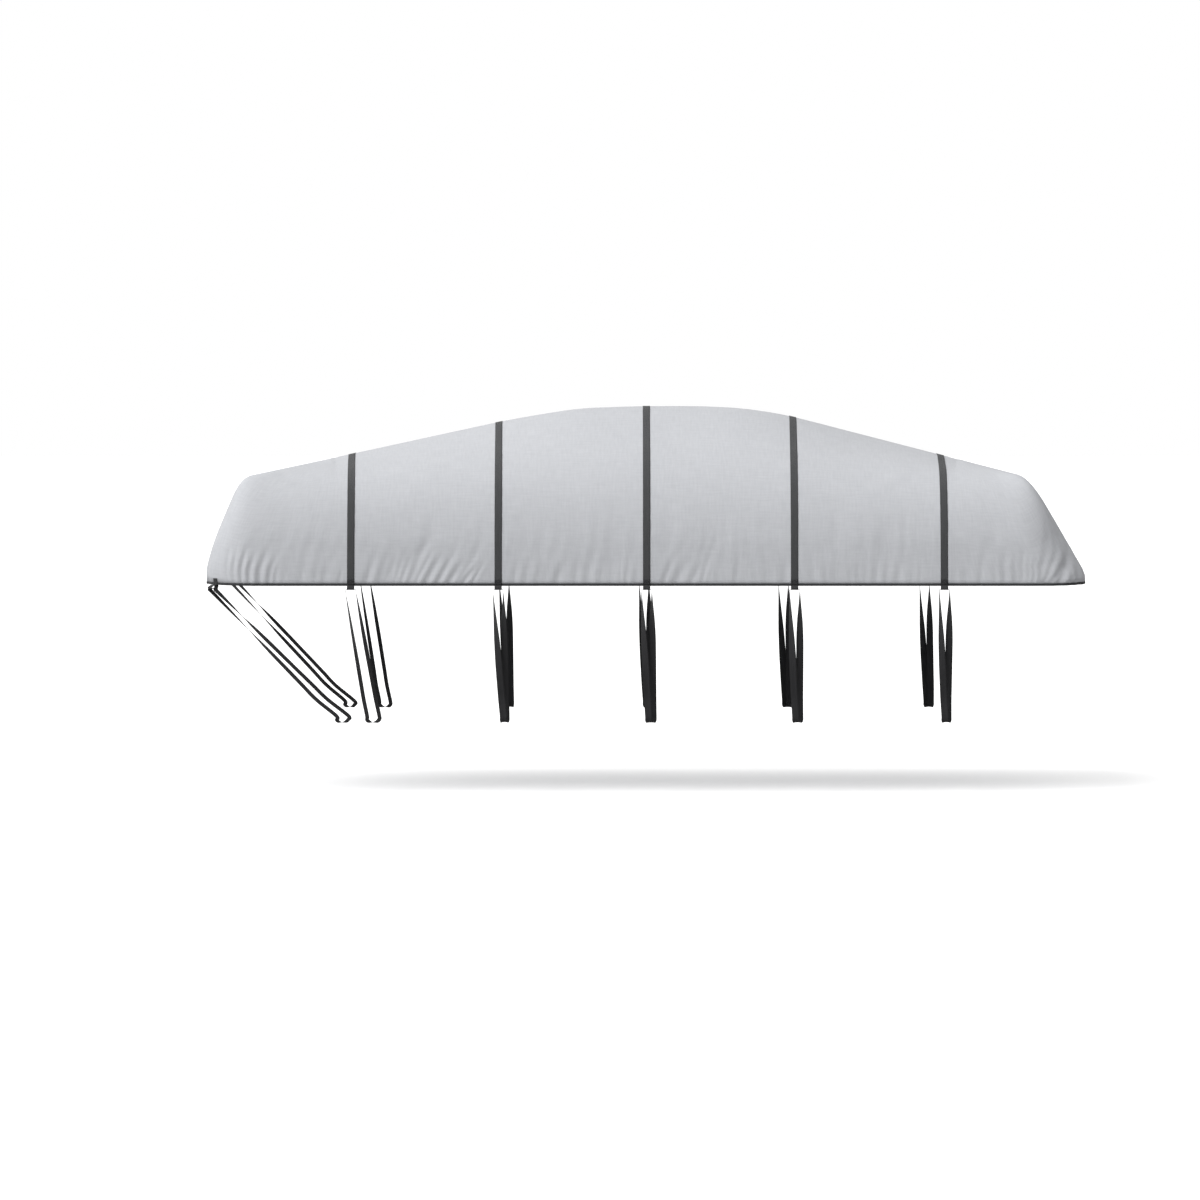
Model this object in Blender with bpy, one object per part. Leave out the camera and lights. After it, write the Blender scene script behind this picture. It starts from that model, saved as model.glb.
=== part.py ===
"""Fitted ridge-topped cover: one draped cloth shell with its folds, an edge binding,
five over-straps, hem loops and the webbing tie-downs through them.

Metres, +Z up.  +X runs aft, -X is the bow end, -Y is the near side.
The origin is on the underside of the cloth, under the top of the ridge at mid length.
Heights in the tables are measured up from the hem line and moved to that origin last.
"""
import math

import bmesh
import bpy
import numpy as np
from mathutils import Vector

# ---------------------------------------------------------------- driving sizes
COVER_LENGTH = 6.10
COVER_BEAM = 2.44
CROWN_HEIGHT = 1.23
CLOTH_THICKNESS = 0.003
BOW_CORNER_RADIUS = 0.35
STERN_CORNER_RADIUS = 0.30
WEBBING_WIDTH = 0.050
WEBBING_THICKNESS = 0.002
SEAT_GAP = 0.0004
BINDING_DEPTH = 0.010

# Where the two long sides end and the corner arcs begin.
HALF_LENGTH = COVER_LENGTH / 2
HALF_BEAM = COVER_BEAM / 2
BOW_TANGENT = -HALF_LENGTH + BOW_CORNER_RADIUS
STERN_TANGENT = HALF_LENGTH - STERN_CORNER_RADIUS
BOW_ARC = BOW_CORNER_RADIUS * math.pi / 2
STERN_ARC = STERN_CORNER_RADIUS * math.pi / 2
BOW_CENTRE = BOW_TANGENT - BOW_ARC - (HALF_BEAM - BOW_CORNER_RADIUS)
STERN_CENTRE = STERN_TANGENT + STERN_ARC + (HALF_BEAM - STERN_CORNER_RADIUS)

# Ridge line: station along the length, height over the hem.
RIDGE = (
    ("bow end", -2.20, 0.865),
    ("bow rise", -1.01, 1.124),
    ("bow haunch", -0.73, 1.174),
    ("crown start", -0.45, 1.216),
    ("crown", -0.02, CROWN_HEIGHT),
    ("crown end", 0.41, CROWN_HEIGHT),
    ("stern haunch", 0.69, 1.216),
    ("stern fall", 0.975, 1.174),
    ("stern slope", 1.12, 1.138),
    ("stern end", 2.22, 0.854),
)

# Wall of each face: where its line meets the roof line, how far it leans in there,
# how hollow it stands, how high it hangs plumb from the hem, and the run of the soft turn
# into the roof.
WALLS = {
    "side": {"height": 0.736, "lean": 0.085, "power": 1.6, "foot": 0.0, "turn": 0.45},
    "bow": {"height": 0.728, "lean": 0.238, "power": 1.3, "foot": 0.08, "turn": 0.12},
    "stern": {"height": 0.733, "lean": 0.395, "power": 1.1, "foot": 0.06, "turn": 0.16},
}
CROWN_RUN = 0.35
CROWN_FOCUS = 12
CORNER_TIGHTENING = 0.155
CORNER_HEM_RISE = 0.007

# Over-straps: where each crosses the hem and the ridge.
STRAPS = (
    ("1", -2.037, -2.078),
    ("2", -1.020, -1.035),
    ("3", 0.004, 0.011),
    ("4", 1.024, 1.049),
    ("5", 2.057, 2.096),
)
STRAP_BED = WEBBING_WIDTH / 2 + 0.001

# Folds gathered at the hem, a row for each stretch between straps and corners.
# ends: the stretch along the hem; slant and rise: of its first and last fold.
FOLDS = (
    {"name": "bow face", "ends": (BOW_CENTRE, -3.054), "slant": (0.0, 0.0),
     "rise": (0.22, 0.28), "depth": 0.011,
     "at": (-4.02, -3.85, -3.71, -3.55, -3.42, -3.27, -3.15)},
    {"name": "bow side", "ends": (-2.986, -2.063), "slant": (0.10, 0.25),
     "rise": (0.33, 0.20), "depth": 0.013,
     "at": (-2.93, -2.89, -2.84, -2.78, -2.72, -2.645, -2.595, -2.39, -2.29, -2.23)},
    {"name": "strap 1 to 2", "ends": (-2.011, -1.046), "slant": (0.25, 0.70),
     "rise": (0.22, 0.30), "depth": 0.013,
     "at": (-1.93, -1.845, -1.78, -1.69, -1.637, -1.59, -1.522, -1.444, -1.367, -1.27,
            -1.19)},
    {"name": "strap 2 to 3", "ends": (-0.994, -0.022), "slant": (0.25, 0.05),
     "rise": (0.24, 0.22), "depth": 0.011,
     "at": (-0.92, -0.835, -0.758, -0.614, -0.487, -0.405, -0.321, -0.246, -0.137,
            -0.073)},
    {"name": "strap 3 to 4", "ends": (0.030, 0.998), "slant": (0.45, -0.10),
     "rise": (0.23, 0.21), "depth": 0.011,
     "at": (0.12, 0.21, 0.30, 0.383, 0.506, 0.618, 0.766, 0.826, 0.947)},
    {"name": "strap 4 to 5", "ends": (1.050, 2.031), "slant": (-0.10, 0.08),
     "rise": (0.22, 0.22), "depth": 0.011,
     "at": (1.16, 1.24, 1.41, 1.47, 1.58, 1.657, 1.733, 1.83, 1.89)},
    {"name": "stern side", "ends": (2.083, 3.10), "slant": (-0.10, 0.70),
     "rise": (0.20, 0.26), "depth": 0.013,
     "at": (2.14, 2.215, 2.315, 2.41, 2.477, 2.546, 2.60, 2.67, 2.714, 2.797, 2.851, 2.93,
            3.02)},
    {"name": "stern face", "ends": (3.10, STERN_CENTRE), "slant": (0.0, 0.0),
     "rise": (0.22, 0.22), "depth": 0.011,
     "at": (3.16, 3.32, 3.46, 3.62, 3.76, 3.92, 4.06)},
)
CREST_SHARE = 0.35
SLANT_EASE = 0.30
FOLD_FADE = 1.2
FOLD_UNEVEN = 0.35
FOLD_BEAT = 2.4
ROW_BEAT = 3.0
FAR_UNEVEN = 0.30
FAR_BEAT = 5.0
FOLD_ROWS = (0.0, 0.13, 0.24)
COLUMN_STEP = 0.27
CORNER_STEPS = 4
SHOULDER_STEPS = 4
ROOF_STEPS = 2
CROWN_STEPS = 2
MARK_TOLERANCE = 1e-9

# Space inside the foot of every tie-down: outer and inner faces, top and underside.
FOOT_OUTER = 1.120
FOOT_INNER = 1.060
FOOT_TOP = -0.803
FOOT_UNDER = -0.945
FOOT_CLEARANCE = 0.0005
FOOT_CORNER = 0.006
FOOT_SOFTNESS = 0.3

# Side tie-downs: how far aft of its hem loop the outer and the inner leg are at the
# foot, and how wide the bunched webbing is there.
SIDE_TIES = (
    ("1", 0.108, 0.190, 0.028),
    ("2", 0.034, 0.051, 0.050),
    ("3", 0.015, 0.046, 0.050),
    ("4", 0.012, 0.042, 0.050),
    ("5", 0.012, 0.036, 0.050),
)

# Bow tie-downs: station of the outer and of the inner leg at the foot on each side.
BOW_TIES = (
    ("near", -2.140, -2.062),
    ("far", -2.182, -2.108),
)
BOW_TIE_PLACE = -3.020
BOW_TIE_WIDTH = 0.026

# Hem loops: plies sewn over and behind the hem, straight parts below it, then the
# stirrup as shares of its reach outward and of its drop below the hem.
LOOP_DROP = 0.0385
LOOP_REACH = 0.048
LOOP_PLY = 0.032
LOOP_OUTER_HANG = 0.010
LOOP_INNER_HANG = 0.026
STIRRUP = (
    ("slope", 0.62, 0.44),
    ("outer knee", 1.00, 0.73),
    ("outer side", 1.04, 0.87),
    ("outer foot", 0.94, 1.00),
    ("inner foot", 0.08, 1.00),
    ("inner side", -0.02, 0.90),
)

# Tie-downs: the pass through the hem loop (in from the leg, below the seat), then two
# legs that turn a quarter, each at its own rate.
TIE_GATHER = 0.036
TIE_SEAT_GAP = 0.0003
TIE_PASS = (
    ("edge", 0.002, 0.003),
    ("flat", 0.009, 0.0),
)
LEG_SPREAD = 0.036
LEG_START = 0.012
LEG_STEPS = 12
LEGS = {
    "inner": {"side": 1, "bulge": 0.022, "turning": 1.90},
    "outer": {"side": -1, "bulge": 0.004, "turning": 1.25},
}

MATERIALS = {
    "cover_cloth": ((0.52, 0.52, 0.55, 1.0), 0.80),
    "edge_binding": ((0.045, 0.046, 0.05, 1.0), 0.75),
    "strap_webbing": ((0.075, 0.077, 0.080, 1.0), 0.70),
    "tie_webbing": ((0.022, 0.022, 0.024, 1.0), 0.65),
}


# ---------------------------------------------------------------- outline by height
def hem_place(place, side_in=0.0, end_in=0.0, radius_in=0.0):
    """Point and outward normal on the near half of the outline; place runs from the bow
    centre, round the corner, along the side as plain x, and on to the stern centre.
    Higher up the sides and ends stand in and the corners are tighter."""
    bow = place < 0
    tangent = BOW_TANGENT if bow else STERN_TANGENT
    radius = BOW_CORNER_RADIUS if bow else STERN_CORNER_RADIUS
    arc = BOW_ARC if bow else STERN_ARC
    aft = -1.0 if bow else 1.0
    past = (place - tangent) * aft
    tight = radius - radius_in
    beam = HALF_BEAM - side_in
    corner = np.array((aft * (HALF_LENGTH - end_in - tight), -beam + tight))
    if past <= 0:
        hold = STRAPS[0][1] if bow else STRAPS[-1][1]
        share = min(max((place - hold) / (tangent - hold), 0.0), 1.0)
        return np.array((place + (corner[0] - tangent) * share, -beam)), np.array((0.0, -1.0))
    if past <= arc:
        turn = past / radius
        normal = np.array((aft * math.sin(turn), -math.cos(turn)))
        return corner + tight * normal, normal
    share = (past - arc) / (HALF_BEAM - radius)
    return np.array((aft * (HALF_LENGTH - end_in), corner[1] * (1 - share))), np.array((aft, 0.0))


def ridge_height(x):
    return float(np.interp(x, [row[1] for row in RIDGE], [row[2] for row in RIDGE]))


def ridge_target(place):
    """Ridge point that a column of the cloth runs up to: straight across on the side,
    drawn aft or forward with the straps, and one shared point beyond each ridge end."""
    drift = float(np.interp(place, [s[1] for s in STRAPS], [s[2] - s[1] for s in STRAPS]))
    return min(max(place + drift, RIDGE[0][1]), RIDGE[-1][1])


def shoulder_height(place):
    """Height where wall and roof lines meet: the side's, rising to the middle of an end."""
    hem, _ = hem_place(place)
    end = WALLS["bow"] if place < 0 else WALLS["stern"]
    level = 1 - (hem[1] / HALF_BEAM) ** 2
    return WALLS["side"]["height"] + (end["height"] - WALLS["side"]["height"]) * level


def turn_run(place):
    """Run of the soft turn from wall to roof: the side's, changing round a corner."""
    _, normal = hem_place(place)
    end = WALLS["bow"] if place < 0 else WALLS["stern"]
    share = normal[0] ** 2
    return WALLS["side"]["turn"] * (1 - share) + end["turn"] * share


# ---------------------------------------------------------------- cloth surface
def lean_in(wall, height):
    """How far a face stands in at a height: nothing up to its foot, then a power law."""
    share = max(height - wall["foot"], 0.0) / (wall["height"] - wall["foot"])
    return wall["lean"] * share ** wall["power"]


def wall_spot(place, height):
    """Plan point and normal of the wall at a height; each face leans in by its own law."""
    end = WALLS["bow"] if place < 0 else WALLS["stern"]
    side = WALLS["side"]
    radius_in = CORNER_TIGHTENING * height / side["height"]
    return hem_place(place, lean_in(side, height), lean_in(end, height), radius_in)


def wall_point(place, height, fold_offset, far):
    """World point on the wall at a height, pushed out or in by a fold."""
    spot, normal = wall_spot(place, height)
    rise = CORNER_HEM_RISE * normal[0] ** 2 * max(0.0, 1 - height / FOLD_ROWS[-1])
    point = spot + normal * fold_offset
    return cloth_point(point[0], point[1], height + rise, far)


def bend(start, control, end, share):
    """Point on the quadratic curve from start to end that leans on control."""
    return ((1 - share) ** 2 * start + 2 * share * (1 - share) * control
            + share ** 2 * end)


def section_points(place):
    """Points (x, y, height) of one column above the fold rows: wall top, soft shoulder,
    roof, rounded crown, ridge."""
    height = shoulder_height(place)
    turn = turn_run(place)
    wall_top = np.array((*wall_spot(place, height - turn)[0], height - turn))
    shoulder = np.array((*wall_spot(place, height)[0], height))
    ridge_x = ridge_target(place)
    top = ridge_height(ridge_x)
    reach = np.array((ridge_x, 0.0)) - shoulder[:2]
    span = float(np.linalg.norm(reach))
    crown_run = CROWN_RUN * (reach[1] / span) ** CROWN_FOCUS
    half_share = crown_run / (2 * span)
    apex = np.array((ridge_x, 0.0, (top - height * half_share) / (1 - half_share)))
    roof = apex - shoulder
    roof_start = shoulder + roof * turn / np.linalg.norm(roof)
    crown_start = apex - roof * crown_run / span
    rows = [wall_top]
    for step in range(1, SHOULDER_STEPS + 1):
        rows.append(bend(wall_top, shoulder, roof_start, step / SHOULDER_STEPS))
    for step in range(1, ROOF_STEPS + 1):
        rows.append(roof_start + (crown_start - roof_start) * step / ROOF_STEPS)
    peak = np.array((ridge_x, 0.0, top))
    for step in range(1, CROWN_STEPS + 1):
        rows.append(bend(crown_start, (crown_start + apex) / 2, peak, step / CROWN_STEPS))
    return rows


def cloth_point(x, y, height, far=False):
    """Height over the hem to world height, mirrored for the far side."""
    return Vector((x, -y if far else y, height - CROWN_HEIGHT + CLOTH_THICKNESS))


# ---------------------------------------------------------------- columns
def fold_columns():
    """Places of the fine columns of the near half: a trough for each fold, a crest
    between two, and the flat beds under straps and bow loops."""
    columns = [{"place": BOW_CENTRE, "offset": 0.0, "slant": 0.0, "rise": 1.0}]
    for row in FOLDS:
        first, last = row["ends"]
        marks = [first] + list(row["at"]) + [last]
        count = len(row["at"])
        for index, place in enumerate(row["at"]):
            share = index / (count - 1)
            slant = row["slant"][0] + (row["slant"][1] - row["slant"][0]) * share
            rise = row["rise"][0] + (row["rise"][1] - row["rise"][0]) * share
            wave = math.sin(FOLD_BEAT * index + ROW_BEAT * first)
            depth = row["depth"] * (1 + FOLD_UNEVEN * wave)
            crest = (marks[index] + place) / 2
            shapes = [(crest, depth * CREST_SHARE), (place, -depth)]
            if index == count - 1:
                shapes.append(((place + last) / 2, depth * CREST_SHARE))
            for spot, offset in shapes:
                ease = min(1, (spot - first) / SLANT_EASE, (last - spot) / SLANT_EASE)
                columns.append({"place": spot, "offset": offset,
                                "slant": slant * ease, "rise": rise})
    for place in bed_edges():
        columns.append({"place": place, "offset": 0.0, "slant": 0.0, "rise": 1.0})
    columns.append({"place": STERN_CENTRE, "offset": 0.0, "slant": 0.0, "rise": 1.0})
    return sorted(columns, key=lambda column: column["place"])


def bed_edges():
    """Both edges of the flat strip of cloth under each over-strap and bow loop."""
    middles = [strap[1] for strap in STRAPS] + [BOW_TIE_PLACE]
    return [middle + side * STRAP_BED for middle in middles for side in (-1, 1)]


def plain_columns():
    """Places of the coarser columns above the folds: strap edges and corner ends,
    with even columns between them."""
    anchors = [BOW_CENTRE, STERN_CENTRE]
    anchors += [BOW_TANGENT - BOW_ARC * step / CORNER_STEPS for step in range(CORNER_STEPS + 1)]
    anchors += [STERN_TANGENT + STERN_ARC * step / CORNER_STEPS
                for step in range(CORNER_STEPS + 1)]
    anchors += [strap[1] + side * STRAP_BED for strap in STRAPS for side in (-1, 1)]
    anchors.sort()
    places = [anchors[0]]
    for start, end in zip(anchors, anchors[1:]):
        count = max(1, round((end - start) / COLUMN_STEP))
        places += [start + (end - start) * step / count for step in range(1, count + 1)]
    return places


def fold_share(height, rise):
    """How much of a fold is left at a height: all at the hem, none above its rise."""
    return max(0.0, 1 - (height / rise) ** FOLD_FADE)


def fold_point(column, height, far):
    """World point of a fine column; the far side has the same folds, other depths."""
    uneven = 1 + (FAR_UNEVEN * math.sin(FAR_BEAT * column["place"]) if far else 0)
    offset = column["offset"] * uneven * fold_share(height, column["rise"])
    return wall_point(column["place"] + column["slant"] * height, height, offset, far)


def ring(near_places, point_of):
    """One closed row round the cover: near half bow to stern, far half back again."""
    near = [point_of(place, False) for place in near_places]
    far = [point_of(place, True) for place in near_places[-2:0:-1]]
    return near + far


# ---------------------------------------------------------------- cover
def build_cover():
    """Rows of points from the hem to the ridge, closed by triangles, given thickness."""
    mesh = bmesh.new()
    fine = fold_columns()
    plain = plain_columns()
    sections = {place: section_points(place) for place in plain}
    fine_rows = [[mesh.verts.new(point) for point in
                  ring(fine, lambda column, far, h=height: fold_point(column, h, far))]
                 for height in FOLD_ROWS]
    row_count = len(sections[plain[0]])
    plain_rows = []
    for index in range(row_count - 1):
        def row_point(place, far, level=index):
            return cloth_point(*sections[place][level], far)
        plain_rows.append([mesh.verts.new(point) for point in ring(plain, row_point)])
    for lower, upper in zip(fine_rows, fine_rows[1:]):
        stitch(mesh, lower, upper)
    stitch_uneven(mesh, fine_rows[-1], [column["place"] for column in fine],
                  plain_rows[0], plain)
    for lower, upper in zip(plain_rows, plain_rows[1:]):
        stitch(mesh, lower, upper)
    close_ridge(mesh, plain_rows[-1], plain)
    thicken(mesh, fine_rows[0])
    return finish_piece("cover_cloth", mesh, "cover_cloth")


def thicken(mesh, hem):
    """Inner side of the cloth, one thickness in from the outer, with a level hem edge."""
    mesh.normal_update()
    outer = list(mesh.verts)
    outer_faces = list(mesh.faces)
    hem_points = set(hem)
    inner = {}
    for point in outer:
        inward = -point.normal * point.calc_shell_factor()
        if point in hem_points:
            inward = Vector((inward.x, inward.y, 0.0)).normalized()
        inner[point] = mesh.verts.new(point.co + inward * CLOTH_THICKNESS)
    for face in outer_faces:
        mesh.faces.new([inner[point] for point in reversed(face.verts)])
    for index, point in enumerate(hem):
        before = hem[index - 1]
        mesh.faces.new((point, before, inner[before]))
        mesh.faces.new((point, inner[before], inner[point]))


def stitch(mesh, lower, upper):
    """Two triangles for each step between two rows with the same columns."""
    for index in range(len(lower)):
        after = (index + 1) % len(lower)
        mesh.faces.new((lower[index], lower[after], upper[index]))
        mesh.faces.new((lower[after], upper[after], upper[index]))


def stitch_uneven(mesh, lower, lower_places, upper, upper_places):
    """Triangles between a row with many columns and a row with few, matched by place."""
    lower_marks = full_marks(lower_places)
    upper_marks = full_marks(upper_places)
    low, high = 0, 0
    while low < len(lower) or high < len(upper):
        lower_next = (low + 1) % len(lower)
        upper_next = (high + 1) % len(upper)
        lower_first = high == len(upper) or (
            low < len(lower) and lower_marks[low + 1] <= upper_marks[high + 1] + MARK_TOLERANCE)
        if lower_first:
            mesh.faces.new((lower[low], lower[lower_next], upper[high % len(upper)]))
            low += 1
        else:
            mesh.faces.new((lower[low % len(lower)], upper[upper_next], upper[high]))
            high += 1


def full_marks(places):
    """Places round the whole hem, counted on past the stern centre."""
    back = [2 * STERN_CENTRE - place for place in places[-2::-1]]
    return list(places) + back


def close_ridge(mesh, row, places):
    """Last row up to the ridge line: a fan at each end, pairs of columns between."""
    peaks = {}
    tops = []
    for place in places:
        x = ridge_target(place)
        if x not in peaks:
            peaks[x] = mesh.verts.new(cloth_point(x, 0.0, ridge_height(x)))
        tops.append(peaks[x])
    tops += tops[-2:0:-1]
    for index in range(len(row)):
        after = (index + 1) % len(row)
        mesh.faces.new((row[index], row[after], tops[index]))
        if tops[after] is not tops[index]:
            mesh.faces.new((row[after], tops[after], tops[index]))


# ---------------------------------------------------------------- bands of webbing
def band(name, centres, widths, normals, width, thickness, slot, closed=False):
    """Flat webbing swept along centre points; widths and normals are unit vectors and
    width may be one value or one for each point.  Both broad faces are cut along the
    same diagonal, so webbing that turns keeps its thickness."""
    mesh = bmesh.new()
    sizes = np.broadcast_to(width, len(centres))
    rows = []
    for centre, across, out, size in zip(centres, widths, normals, sizes):
        side = Vector(across) * (size / 2)
        up = Vector(out) * (thickness / 2)
        middle = Vector(centre)
        rows.append([mesh.verts.new(middle + corner) for corner in
                     (-side - up, side - up, side + up, -side + up)])
    pairs = list(zip(rows, rows[1:]))
    if closed:
        pairs.append((rows[-1], rows[0]))
    for first, second in pairs:
        for corner, after in ((0, 1), (1, 2), (3, 0)):
            mesh.faces.new((first[corner], first[after], second[corner]))
            mesh.faces.new((first[after], second[after], second[corner]))
        mesh.faces.new((first[2], first[3], second[3]))
        mesh.faces.new((first[2], second[3], second[2]))
    if not closed:
        mesh.faces.new(rows[0][::-1])
        mesh.faces.new(rows[-1])
    bmesh.ops.recalc_face_normals(mesh, faces=mesh.faces)
    return finish_piece(name, mesh, slot)


def strap_column(place, far):
    """Outer points of the cloth up one column, from the hem to the ridge."""
    bed = {"place": place, "offset": 0.0, "slant": 0.0, "rise": 1.0}
    points = [fold_point(bed, height, far) for height in FOLD_ROWS]
    return points + [cloth_point(*row, far) for row in section_points(place)]


def build_over_strap(name, middle):
    """Webbing laid over the cover from hem to hem, a seat gap above the cloth."""
    forward = strap_column(middle - STRAP_BED, False)
    forward += strap_column(middle - STRAP_BED, True)[-2::-1]
    aft = strap_column(middle + STRAP_BED, False)
    aft += strap_column(middle + STRAP_BED, True)[-2::-1]
    centres, widths, normals = [], [], []
    middles = [(a + b) / 2 for a, b in zip(forward, aft)]
    for index, point in enumerate(middles):
        before = middles[max(index - 1, 0)]
        after = middles[min(index + 1, len(middles) - 1)]
        across = (aft[index] - forward[index]).normalized()
        out = across.cross(after - before).normalized()
        lift = SEAT_GAP + WEBBING_THICKNESS / 2
        centres.append(point + out * lift)
        widths.append(across)
        normals.append(out)
    return band(name, centres, widths, normals, WEBBING_WIDTH, WEBBING_THICKNESS,
                "strap_webbing")


# ---------------------------------------------------------------- hem pieces
def build_binding():
    """Tape under the whole hem edge, as thick as the cloth and following its folds."""
    hem = ring(fold_columns(), lambda column, far: fold_point(column, 0.0, far))
    count = len(hem)
    centres, widths, normals = [], [], []
    for index, point in enumerate(hem):
        along = hem[(index + 1) % count] - hem[index - 1]
        across = Vector((along.y, -along.x, 0.0)).normalized()
        drop = SEAT_GAP + BINDING_DEPTH / 2
        centres.append(point - across * (CLOTH_THICKNESS / 2) - Vector((0, 0, drop)))
        widths.append(across)
        normals.append(Vector((0, 0, 1)))
    return band("hem_binding", centres, widths, normals, CLOTH_THICKNESS, BINDING_DEPTH,
                "edge_binding", closed=True)


def loop_frame(place, far):
    """Hem point, outward and along directions of a loop, for either side."""
    before, after = hem_place(place - STRAP_BED)[0], hem_place(place + STRAP_BED)[0]
    middle = (before + after) / 2
    along = (after - before) / np.linalg.norm(after - before)
    outward = np.array((along[1], -along[0]))
    flip = -1 if far else 1
    return (Vector((middle[0], flip * middle[1], 0)), Vector((outward[0], flip * outward[1], 0)),
            Vector((along[0], flip * along[1], 0)))


def at_height(point, height):
    return Vector((point.x, point.y, height - CROWN_HEIGHT + CLOTH_THICKNESS))


def build_hem_loop(name, place, far, cover_thickness):
    """Short stirrup of webbing: outer ply sewn over the hem, round under the tie-down,
    inner ply sewn behind the cloth."""
    middle, outward, along = loop_frame(place, far)
    hem_spot, normal = wall_spot(place, 0.0)
    lean = float((hem_spot - wall_spot(place, FOLD_ROWS[1])[0]) @ normal) / FOLD_ROWS[1]
    half = WEBBING_THICKNESS / 2
    outer = cover_thickness + SEAT_GAP + half
    inner = -CLOTH_THICKNESS - SEAT_GAP - half
    base = CORNER_HEM_RISE * (outward.x ** 2)
    route = [(outer - lean * LOOP_PLY, LOOP_PLY), (outer, 0.0), (outer, -LOOP_OUTER_HANG)]
    route += [(LOOP_REACH * out, -LOOP_DROP * drop) for _, out, drop in STIRRUP]
    route += [(inner, -LOOP_INNER_HANG), (inner, 0.0), (inner - lean * LOOP_PLY, LOOP_PLY)]
    centres = [at_height(middle + outward * out, height + base) for out, height in route]
    normals = []
    for index in range(len(centres)):
        before = centres[max(index - 1, 0)]
        after = centres[min(index + 1, len(centres) - 1)]
        normals.append(along.cross(after - before).normalized())
    widths = [along] * len(centres)
    return band(name, centres, widths, normals, WEBBING_WIDTH, WEBBING_THICKNESS,
                "tie_webbing")


# ---------------------------------------------------------------- tie-downs
def build_leg(leg, low_x, face, top, seat, flip):
    """Points of one leg from the hem loop down to the top of its foot, with the share
    of the quarter turn made at each."""
    fall = (seat - FOOT_TOP) / (seat - FOOT_UNDER)
    foot_x = top.x + (low_x - top.x) * fall
    foot = at_height(Vector((foot_x, flip * face, 0)), FOOT_TOP)
    points, turns = [], []
    for step in range(LEG_STEPS + 1):
        share = step / LEG_STEPS
        point = top.lerp(foot, share)
        point.y += flip * leg["bulge"] * math.sin(math.pi * share)
        points.append(point)
        turns.append(min(1.0, share * leg["turning"]))
    return points, turns


def build_tie(name, place, far, outer_x, inner_x, foot_width):
    """Closed webbing loop: flat through the hem loop, each leg turning a quarter on
    its way down, the foot square round the space it is hooked over."""
    middle, outward, along = loop_frame(place, far)
    flip = 1 if far else -1
    base = CORNER_HEM_RISE * (outward.x ** 2)
    seat = -LOOP_DROP + WEBBING_THICKNESS + TIE_SEAT_GAP + base
    pass_middle = middle + outward * (LOOP_REACH / 2)
    skin = WEBBING_THICKNESS / 2 + FOOT_CLEARANCE
    outer_face = FOOT_OUTER + skin
    inner_face = FOOT_INNER - skin
    under = FOOT_UNDER - skin
    legs = {}
    for key, low_x, face in (("inner", inner_x, inner_face), ("outer", outer_x, outer_face)):
        top = at_height(pass_middle + along * (LEGS[key]["side"] * LEG_SPREAD), seat - LEG_START)
        legs[key] = build_leg(LEGS[key], low_x, face, top, seat, flip)
    soft = FOOT_CORNER * FOOT_SOFTNESS
    foot = [at_height(Vector((x, flip * reach, 0)), under + lift) for x, reach, lift in (
        (inner_x, inner_face, FOOT_CORNER),
        (inner_x, inner_face + soft, soft),
        (inner_x, inner_face + FOOT_CORNER, 0.0),
        (outer_x, outer_face - FOOT_CORNER, 0.0),
        (outer_x, outer_face - soft, soft),
        (outer_x, outer_face, FOOT_CORNER),
    )]
    pass_marks = [(-(LEG_SPREAD - inset), drop) for _, inset, drop in TIE_PASS]
    pass_marks += [(LEG_SPREAD - inset, drop) for _, inset, drop in TIE_PASS[::-1]]
    passing = [at_height(pass_middle + along * shift, seat - drop) for shift, drop in pass_marks]
    centres = passing + legs["inner"][0] + foot + legs["outer"][0][::-1]
    turns = [0.0] * len(passing) + legs["inner"][1]
    turns += [1.0] * len(foot) + legs["outer"][1][::-1]
    aft = Vector((1.0, 0.0, 0.0))
    widths, normals, sizes = [], [], []
    for index, point in enumerate(centres):
        heading = (centres[(index + 1) % len(centres)] - centres[index - 1]).normalized()
        angle = turns[index] * math.pi / 2
        across = outward * math.cos(angle) + aft * math.sin(angle)
        across = (across - heading * across.dot(heading)).normalized()
        widths.append(across)
        normals.append(heading.cross(across).normalized())
        sizes.append(TIE_GATHER + (foot_width - TIE_GATHER) * min(1.0, 2 * turns[index]))
    return band(name, centres, widths, normals, np.array(sizes), WEBBING_THICKNESS,
                "tie_webbing", closed=True)


# ---------------------------------------------------------------- scene
def clear_scene():
    for thing in list(bpy.data.objects):
        bpy.data.objects.remove(thing, do_unlink=True)


def make_material(name):
    material = bpy.data.materials.get(name)
    if material:
        return material
    colour, roughness = MATERIALS[name]
    material = bpy.data.materials.new(name)
    material.use_nodes = True
    shader = material.node_tree.nodes["Principled BSDF"]
    shader.inputs["Base Color"].default_value = colour
    shader.inputs["Roughness"].default_value = roughness
    shader.inputs["Metallic"].default_value = 0.0
    return material


def finish_piece(name, mesh, slot):
    data = bpy.data.meshes.new(name)
    mesh.to_mesh(data)
    mesh.free()
    data.materials.append(make_material(slot))
    piece = bpy.data.objects.new(name, data)
    bpy.context.collection.objects.link(piece)
    return piece


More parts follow.
